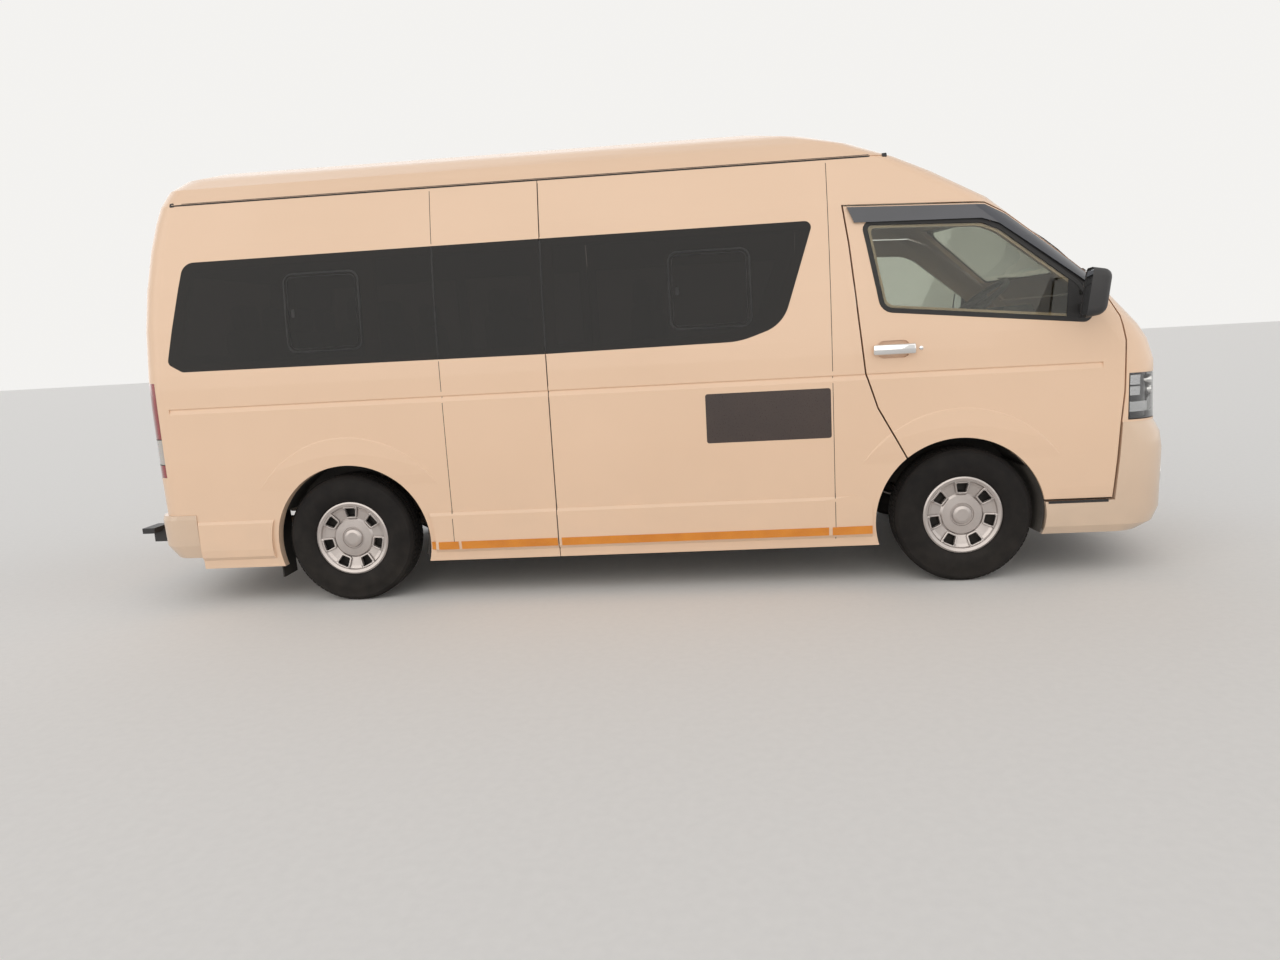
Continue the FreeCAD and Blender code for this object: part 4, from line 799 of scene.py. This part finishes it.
def addTailLamps():
    bm = copyOf("tail_lamps")
    cutAlong(bm, (0, 0, 1), tailLamp["cuts"])
    low, clearLow, clearHigh, high = tailLamp["cuts"]
    for face in bm.faces:
        z = face.calc_center_median().z
        face.material_index = 1 if clearLow < z < clearHigh else (0 if z > high or z < low else 2)
    finishPiece("tail_lamp_lenses", bm, ["redLens", "paleLens", "seal"], "body",
                replaces=["tail_lamps"])


for side, way in sides:
    addHeadlamp(side, way)
addTailLamps()
print("lamps ready")


# Wheel covers: a raised lip round each opening. Inner and outer edge: radius, half width, bulge
coverLip = {
    "count": 7, "inner": (0.1035, 0.0285, 0.1440), "outer": (0.168, 0.0405, 0.1560), "rim": 0.0090,
    "proud": 0.006, "corner": 0.011, "round": 0.0028
}
coverInset = 0.0125


def coverFace(corner):
    low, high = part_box("tyre_" + corner)
    return min(abs(low[1]), abs(high[1])) + coverInset


def addCoverLips(corner, way):
    (r0, w0, a0), (r1, w1, a1) = coverLip["inner"], coverLip["outer"]
    bm = bmesh.new()
    quad = bm.faces.new([bm.verts.new(spot) for spot in ((-w0, a0, r0), (w0, a0, r0), (w1, a1, r1),
                                                         (-w1, a1, r1))])
    bevel(bm, quad.verts, coverLip["corner"], 4, "VERTICES")
    bmesh.ops.inset_region(bm, faces=bm.faces[:], thickness=coverLip["rim"], use_even_offset=True,
                           use_boundary=True)
    centre = Vector((0, (a0 + a1) / 2, (r0 + r1) / 2))
    hole = min(bm.faces, key=lambda item: (item.calc_center_median() - centre).length)
    bmesh.ops.delete(bm, geom=[hole], context="FACES")
    thicken(bm, coverLip["proud"])
    bevel(bm, [edge for edge in bm.edges if edge.calc_face_angle(0) > 1.2], coverLip["round"], 3)
    first = bm.verts[:] + bm.edges[:] + bm.faces[:]
    for number in range(1, coverLip["count"]):
        made = bmesh.ops.duplicate(bm, geom=first)["geom"]
        bmesh.ops.rotate(bm, verts=[item for item in made if isinstance(item, bmesh.types.BMVert)],
                         cent=(0, 0, 0), matrix=Matrix.Rotation(2 * pi * number / coverLip["count"], 3, "Y"))
    centre, face = middle("tyre_" + corner), coverFace(corner)
    for vert in bm.verts:
        vert.co = Vector((centre.x + vert.co.x, way * (face + vert.co.y), centre.z + vert.co.z))
    bmesh.ops.recalc_face_normals(bm, faces=bm.faces)
    finishPiece("cover_lips_" + corner, bm, "wheelSilver", "wheel_" + corner, 30)


for corner, way in wheels:
    addCoverLips(corner, way)
print("wheel covers ready")


# Windscreen and tailgate glass seals
glassSeals = {
    "screen_seal": {"look": "front", "body": "body", "width": 0.046, "radii": (0.06, 0.3, 0.09, 0.09, 0.3, 0.06),
        "outline": [(-0.748, 1.500), (-0.730, 1.600), (-0.675, 1.862), (0.675, 1.862), (0.730, 1.600),
                    (0.748, 1.500)]},
    "gate_seal": {"look": "rear", "body": "tailgate", "width": 0.034, "radii": 0.07,
        "outline": [(-0.628, 1.302), (-0.580, 1.790), (0.580, 1.790), (0.628, 1.302)]}
}
for name, form in glassSeals.items():
    bm = bmesh.new()
    ribbon(bm, form["look"], rounded(form["outline"], form["radii"]), form["width"], 0.0012, gap=0.05)
    finishPiece(name, bm, "seal", form["body"])

# Smooth copies of the curved painted shells, in place of their flat-shaded meshes
smoothShells = {
    "roof_panel": ("paint", "body"), "front_panel": ("paint", "body"), "bonnet": ("paint", "bonnet"),
    "front_bumper": ("bumperPaint", "body")
}
for name, (finish, body) in smoothShells.items():
    finishPiece(name + "_skin", copyOf(name), finish, body, 20, [name])

# Tailgate: high stop lamp, reflectors below it on the bumper, and rear wiper
gateTrim = {
    "stopLamp": (-0.16, 0.16, 1.862, 1.884), "reflectors": (0.66, 0.78, 0.395, 0.430), "corner": 0.006,
    "wiper": ((0.02, 1.262), (-0.36, 1.330)), "wiperWidth": 0.016, "wiperProud": 0.017,
    "pivot": ((0.0, 0.030), (0.012, 0.028), (0.017, 0.020), (0.019, 0.0), (0.021, -0.001))
}


def addRearTrim():
    bm = bmesh.new()
    patch(bm, "rear", rounded(boxLine(*gateTrim["stopLamp"]), gateTrim["corner"]), 0.006, 0.008, 0.05)
    finishPiece("high_stop_lamp", bm, "redLens", "tailgate")
    bm = bmesh.new()
    inner, outer, low, high = gateTrim["reflectors"]
    for way in (-1, 1):
        ends = sorted((way * inner, way * outer))
        patch(bm, "rear", rounded(boxLine(*ends, low, high), gateTrim["corner"]), 0.003, 0.004, 0.04)
    finishPiece("rear_reflectors", bm, "redLens", "body")
    bm = bmesh.new()
    first, last = (Vector(spot) for spot in gateTrim["wiper"])
    turned(bm, gateTrim["pivot"], onSkin("rear", first), (-1, 0, 0.1), 24)
    ribbon(bm, "rear", [first, last], gateTrim["wiperWidth"], gateTrim["wiperProud"], closed=False, gap=0.03)
    finishPiece("rear_wiper", bm, "blackPlastic", "tailgate")


addRearTrim()


# Front: fog lamps, mesh behind the grille bars and in the lower intake
frontTrim = {
    "fogLamps": (0.700, 0.480, 0.045), "toe": 0.35, "thick": 0.002,
    "meshes": ((0.510, 0.800, 0.975, 0.050), (0.470, 0.425, 0.556, 0.055)), "crown": 2.0, "pitch": 0.022,
    "wire": 0.0025
}


def addFrontTrim():
    rings, glass = bmesh.new(), bmesh.new()
    y, z, radius = frontTrim["fogLamps"]
    ring = ((radius + 0.012, -0.004), (radius + 0.010, 0.003), (radius, 0.004), (radius - 0.004, -0.012),
            (radius * 0.6, -0.030), (0.0, -0.034))
    lens = ((radius - 0.002, 0.001), (radius * 0.7, 0.004), (0.0, 0.005))
    for way in (-1, 1):
        spot = onSkin("front", (way * y, z))
        turned(rings, ring, spot, (1, way * frontTrim["toe"], 0))
        turned(glass, lens, spot, (1, way * frontTrim["toe"], 0))
    finishPiece("fog_lamps", rings, "lampSilver", "body")
    thicken(glass, frontTrim["thick"])
    finishPiece("fog_lenses", glass, "lampLens", "body")
    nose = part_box("front_bumper")[1][0]
    bm = bmesh.new()
    for half, low, high, back in frontTrim["meshes"]:
        columns = int(2 * half / frontTrim["pitch"])
        rows = max(2, int((high - low) / frontTrim["pitch"]))
        made = bmesh.ops.create_grid(bm, x_segments=columns, y_segments=rows, size=1)["verts"]
        for vert in made:
            y, z = vert.co.x * half, low + (vert.co.y + 1) / 2 * (high - low)
            vert.co = Vector((nose - back - y * y / (2 * frontTrim["crown"]), y, z))
    faces = bm.faces[:]
    bmesh.ops.inset_individual(bm, faces=faces, thickness=frontTrim["wire"])
    bmesh.ops.delete(bm, geom=faces, context="FACES")
    thicken(bm, frontTrim["thick"])
    bmesh.ops.recalc_face_normals(bm, faces=bm.faces)
    finishPiece("front_meshes", bm, "blackPlastic", "body")


addFrontTrim()


# Engine bay: radiator with its tanks and cap, undertray, bulkhead and side aprons that close the nose
engineBay = {
    "core": ((2.462, -0.300, 0.480), (2.492, 0.300, 0.900)), "fins": 30, "fin": 0.004, "finProud": 0.006,
    "tank": ((2.452, 0.297, 0.470), (2.502, 0.335, 0.915)), "head": 0.022,
    "cap": ((0.0, 0.014), (0.020, 0.013), (0.024, 0.009), (0.024, 0.0), (0.016, -0.001)), "capPlace": -0.20,
    "apron": 0.800, "top": (2.352, 2.455, 1.000, 0.012),
    "plates": (((2.332, -0.600, 0.450), (2.600, 0.600, 0.458)),
        ((2.331, -0.850, 0.452), (2.339, 0.850, 1.008))),
    "sides": (((2.332, 0.598, 0.450), (2.545, 0.806, 0.458)),
        ((2.352, 0.800, 0.450), (2.515, 0.806, 0.762)),
        ((2.352, 0.800, 0.754), (2.450, 0.806, 1.004)))
}


def addEngineBay():
    bm = bmesh.new()
    low, high = engineBay["core"]
    moulding(bm, low, high, 0)
    step = (high[1] - low[1]) / engineBay["fins"]
    half, proud = engineBay["fin"] / 2, engineBay["finProud"]
    for number in range(engineBay["fins"]):
        y = low[1] + (number + 0.5) * step
        moulding(bm, (high[0] - 0.001, y - half, low[2] + proud),
                 (high[0] + proud, y + half, high[2] - proud), 0)
    finishPiece("radiator_core", bm, "castIron", "body")
    bm = bmesh.new()
    for side, way in sides:
        sideMoulding(bm, way, *engineBay["tank"], 0.008, 3)
    top = high[2] + engineBay["head"]
    moulding(bm, (low[0] - 0.006, low[1] + 0.01, high[2] - 0.004),
             (high[0] + 0.006, high[1] - 0.01, top), 0.005)
    turned(bm, engineBay["cap"], ((low[0] + high[0]) / 2, engineBay["capPlace"], top), (0, 0, 1), 24)
    for plate in engineBay["plates"]:
        moulding(bm, *plate, 0.002, 1)
    back, front, foot, gap = engineBay["top"]
    panel = skinOf(["front_panel"])
    for side, way in sides:
        for plate in engineBay["sides"]:
            sideMoulding(bm, way, *plate, 0.002, 1)
        made = bmesh.ops.create_grid(bm, x_segments=8, y_segments=1, size=1)["verts"]
        for vert in made:  # the upper part ends under the wing
            spot = Vector((back + (vert.co.x + 1) / 2 * (front - back), way * engineBay["apron"], foot))
            if vert.co.y > 0:
                hit = panel.ray_cast(spot, Vector((0, 0, 1)))[0]
                spot.z = hit.z - gap if hit else foot + gap
            vert.co = spot
        faces = list({face for vert in made for face in vert.link_faces})
        bmesh.ops.recalc_face_normals(bm, faces=faces)
        bmesh.ops.solidify(bm, geom=faces, thickness=0.004)
    finishPiece("engine_bay_trim", bm, "blackPlastic", "body")


addEngineBay()
print("front and rear trim ready")


# Mirrors: a rounded shell that tapers forward on a stalk, with its glass set into the rear face
mirrorShape = {
    "x": (0.499, 0.586), "y": (0.992, 1.172), "z": (1.262, 1.485), "round": 0.036, "taper": 0.86,
    "lean": 0.13, "turn": 0.2, "rim": 0.009, "deep": 0.006, "inset": 0.012, "glass": (0.003, 0.0065),
    "stalk": ((0.522, 0.925, 1.284), (0.566, 1.030, 1.330))
}


def addMirror(side, way):
    (x0, x1), (y0, y1), (z0, z1) = mirrorShape["x"], mirrorShape["y"], mirrorShape["z"]
    centre = Vector((fx((x0 + x1) / 2), way * (y0 + y1) / 2, (z0 + z1) / 2))
    bm = bmesh.new()
    for vert in bmesh.ops.create_cube(bm, size=1)["verts"]:
        share = mirrorShape["taper"] if vert.co.x > 0 else 1.0
        vert.co = Vector((fx((x0 + x1) / 2 + vert.co.x * (x1 - x0)),
                          way * ((y0 + y1) / 2 + vert.co.y * (y1 - y0) * share),
                          (z0 + z1) / 2 + vert.co.z * (z1 - z0) * share))
    bmesh.ops.recalc_face_normals(bm, faces=bm.faces)
    back = min(bm.faces, key=lambda face: face.calc_center_median().x)
    rim = set(back.edges)
    bevel(bm, [edge for edge in bm.edges if edge not in rim], mirrorShape["round"], 5)
    back = min(bm.faces, key=lambda face: (face.calc_center_median().x, -face.calc_area()))
    bmesh.ops.inset_region(bm, faces=[back], thickness=mirrorShape["rim"], use_even_offset=True)
    bmesh.ops.translate(bm, verts=back.verts[:], vec=(mirrorShape["deep"], 0, 0))
    shear = Matrix.Identity(4)
    shear[0][2] = mirrorShape["lean"]
    swing = (Matrix.Translation(centre) @ shear @ Matrix.Rotation(way * mirrorShape["turn"], 4, "Z")
             @ Matrix.Translation(-centre))
    bmesh.ops.transform(bm, matrix=swing, verts=bm.verts)
    sideMoulding(bm, way, *frontwise(mirrorShape["stalk"]), 0.008, 3)
    finishPiece("mirror_shell_" + side, bm, "blackPlastic", "door_" + side, 40,
                ["mirror_" + side])
    bm = bmesh.new()
    inset, (near, far) = mirrorShape["inset"], mirrorShape["glass"]
    sideMoulding(bm, way, (fx(x0) + near, y0 + inset, z0 + inset), (fx(x0) + far, y1 - inset, z1 - inset),
                 0.0015, 1)
    bmesh.ops.transform(bm, matrix=swing, verts=bm.verts)
    finishPiece("mirror_glass_" + side, bm, "mirrorGlass", "door_" + side)


for side, way in sides:
    addMirror(side, way)
print("mirrors ready")


# Wheel discs behind the covers, and liners that close the arches in front of the wheels.
# For each axle: shift along, then inner, outer and flared edge across
wheelDisc = {
    "profile": ((0.061, 0.112), (0.110, 0.112), (0.118, 0.102), (0.150, 0.098), (0.1805, 0.104)),
    "thick": 0.004
}
archLiner = {
    "radius": 0.3745, "flare": 0.018, "swell": (0.0115, 0.15, 0.45), "low": -0.30, "high": 0.60,
    "thick": 0.004, "height": 0.3535, "steps": 14, "front": (-0.015, 0.530, 0.876, 0.906),
    "rear": (0.015, 0.707, 0.876, 0.906)
}


def addWheelDisc(corner, way):
    centre = middle("tyre_" + corner)
    centre.y = way * coverFace(corner)
    bm = bmesh.new()
    turned(bm, wheelDisc["profile"], centre, (0, way, 0), 48)
    thicken(bm, wheelDisc["thick"])
    finishPiece("wheel_disc_" + corner, bm, "wheelDark", "wheel_" + corner)


def addArchLiners():
    bm = bmesh.new()
    radius, low, high = archLiner["radius"], archLiner["low"], archLiner["high"]
    swell, first, last = archLiner["swell"]
    for corner, way in wheels:
        place = corner.split("_")[0]
        shift, inner, outer, edge = archLiner[place]
        axle = frontAxle if place == "front" else rearAxle
        start = Vector((radius * cos(low), 0, radius * sin(low)))
        known = set(bm.verts)
        ends = [bm.verts.new(start * (1 + more / radius) + Vector((0, way * y, 0)))
                for y, more in ((inner, 0), (outer, 0), (edge, archLiner["flare"]))]
        lines = [bm.edges.new(ends[:2]), bm.edges.new(ends[1:])]
        bmesh.ops.spin(bm, geom=ends + lines, cent=(0, 0, 0), axis=(0, -1, 0), angle=high - low,
                       steps=archLiner["steps"])
        made = [vert for vert in bm.verts if vert not in known]
        for vert in made:  # the lower part stands further out, clear of the steered tyre
            share = min(1.0, max(0.0, (last - atan2(vert.co.z, vert.co.x)) / (last - first)))
            vert.co += Vector((vert.co.x, 0, vert.co.z)).normalized() * swell * share
        bmesh.ops.translate(bm, verts=made, vec=(axle + shift, 0, archLiner["height"]))
    bmesh.ops.recalc_face_normals(bm, faces=bm.faces)
    thicken(bm, archLiner["thick"])
    finishPiece("arch_liners", bm, "underbody", "body")


for corner, way in wheels:
    addWheelDisc(corner, way)
addArchLiners()
print("wheel discs and arch liners ready")


# Seats: one pad of each kind is inflated as cloth, then copied to every place.
# A seat place: along, seat height, pads across with their widths, headrest height and leg height
padForm = {
    "cushion": (0.466, 0.440, 0.135), "back": (0.098, 0.440, 0.500), "rest": (0.082, 0.250, 0.132),
    "edge": 0.030, "voxel": 0.016, "cap": 0.010, "pressure": 4.0, "frames": 20,
    "channels": (-0.15, -0.05, 0.05, 0.15), "channel": (0.006, 0.010), "bell": 2.718
}
padFaces = {"cushion": (0, 0, 1), "back": (1, 0, 0), "rest": (1, 0, 0)}
rowPads = ((-0.615, 1.0), (-0.165, 1.0), (0.560, 0.94))
benchPads = ((-0.5175, 0.77), (-0.1725, 0.77), (0.1725, 0.77), (0.5175, 0.77))
seatPlaces = {
    "front_seat_right": (1.2675, 0.8503, ((-0.400, 1.04),), 0.650, 0.0),
    "front_seat_left": (1.2675, 0.8503, ((0.400, 1.04),), 0.650, 0.0),
    "row_1_seats": (0.1275, 0.9, rowPads, 0.545, 0.262), "row_2_seats": (-0.6225, 0.9, rowPads, 0.545, 0.262),
    "row_3_seats": (-1.3725, 0.9, rowPads, 0.545, 0.262),
    "rear_bench": (-2.0725, 0.9, benchPads, 0.545, 0.262)
}


def shapeNow(holder):
    return bpy.data.meshes.new_from_object(holder.evaluated_get(bpy.context.evaluated_depsgraph_get()))


def inflate(bm):
    holder = addObject("padStart", meshOf("padStart", bm))
    remesh = holder.modifiers.new("Remesh", "REMESH")
    remesh.mode, remesh.voxel_size = "VOXEL", padForm["voxel"]
    even = shapeNow(holder)
    holder.modifiers.clear()
    holder.data = even
    start = [vert.co.copy() for vert in even.vertices]
    skin = holder.modifiers.new("Cloth", "CLOTH")
    skin.settings.use_pressure = True
    skin.settings.uniform_pressure_force = padForm["pressure"]
    skin.settings.effector_weights.gravity = 0
    skin.point_cache.frame_end = padForm["frames"]
    for step in range(1, padForm["frames"] + 1):
        bpy.context.scene.frame_set(step)
    for vert, before, after in zip(even.vertices, start, shapeNow(holder).vertices):
        move = after.co - before
        vert.co = before + move * min(1.0, padForm["cap"] / max(move.length, 1e-6))
    holder.modifiers.clear()
    bpy.context.scene.frame_set(1)
    result = bmesh.new()
    result.from_mesh(even)
    bpy.data.objects.remove(holder)
    return result


def makePad(kind):
    face = Vector(padFaces[kind])
    bm = bmesh.new()
    verts = bmesh.ops.create_cube(bm, size=1)["verts"]
    bmesh.ops.scale(bm, verts=verts, vec=padForm[kind])
    bevel(bm, bm.edges, padForm["edge"], 3)
    bm = inflate(bm)
    bmesh.ops.subdivide_edges(bm, edges=bm.edges[:], cuts=1, use_grid_fill=True, smooth=0.6)
    depth, width = padForm["channel"]
    for vert in bm.verts:  # sewn channels on the side that is sat on or leaned on
        if kind != "rest" and vert.co.dot(face) > 0.3 * abs(face.dot(Vector(padForm[kind]))):
            for line in padForm["channels"]:
                vert.co -= face * depth * padForm["bell"] ** (-((vert.co.y - line) / width) ** 2)
    return meshOf("pad_" + kind, bm)


pads = {kind: makePad(kind) for kind in padFaces}
print("pads ready", [len(mesh.polygons) for mesh in pads.values()])


def addPad(bm, kind, spot, wide, lean=0.0):
    known = set(bm.verts)
    bm.from_mesh(pads[kind])
    made = [vert for vert in bm.verts if vert not in known]
    turn = Matrix.Translation(spot) @ Matrix.Rotation(lean, 4, "Y") @ Matrix.Diagonal((1, wide, 1, 1))
    bmesh.ops.transform(bm, matrix=turn, verts=made)


def addSeats(name, place):
    along, base, spots, restHeight, leg = place
    restLift, node = (0.065, "passenger_seats") if leg else (0.075, "front_seats")
    bm = bmesh.new()
    for across, wide in spots:
        addPad(bm, "cushion", (along + 0.242, across, base + 0.078), wide)
        addPad(bm, "back", (along - 0.030, across, base + 0.300), wide, -0.05)
        addPad(bm, "rest", (along - 0.045, across, base + restHeight + restLift), wide)
    piece = finishPiece(name, bm, "seatCloth", "body", 60, [node])


# Under each group of seats: a pan, and posts on two skids. The posts of the headrests stand above
seatFrame = {
    "half": 0.21, "legInset": 0.09, "legs": (0.06, 0.36), "post": 0.006, "postLength": 0.14, "postGap": 0.06
}


def addSeatFrames():
    bm = bmesh.new()
    half = seatFrame["half"]
    for along, base, spots, restHeight, leg in seatPlaces.values():
        if leg == 0:
            for across, wide in spots:
                moulding(bm, (along + 0.02, across - half, base),
                         (along + 0.46, across + half, base + 0.022), 0.006)
        else:
            groups = {}
            for across, wide in spots:
                groups.setdefault(across > 0.3 and len(spots) == 3, []).append((across, wide))
            for group in groups.values():
                low = min(across - half * wide for across, wide in group)
                high = max(across + half * wide for across, wide in group)
                moulding(bm, (along + 0.03, low, base - 0.022), (along + 0.45, high, base + 0.018), 0.006)
                foot = base - leg
                for y in (low + seatFrame["legInset"], high - seatFrame["legInset"]):
                    for x in seatFrame["legs"]:
                        moulding(bm, (along + x, y - 0.016, foot + 0.002),
                                 (along + x + 0.045, y + 0.016, base - 0.015), 0.005)
                    moulding(bm, (along + 0.02, y - 0.022, foot + 0.001),
                             (along + 0.46, y + 0.022, foot + 0.018))
        for across, wide in spots:
            for y in (-seatFrame["postGap"], seatFrame["postGap"]):
                post = bmesh.ops.create_cone(bm, cap_ends=True, segments=12, radius1=seatFrame["post"],
                                             radius2=seatFrame["post"], depth=seatFrame["postLength"])
                bmesh.ops.translate(bm, verts=post["verts"],
                                    vec=(along - 0.042, across + y * wide, base + restHeight))
    finishPiece("seat_frames", bm, "steel", "body")


for name, place in seatPlaces.items():
    addSeats(name, place)
addSeatFrames()
print("seats ready")
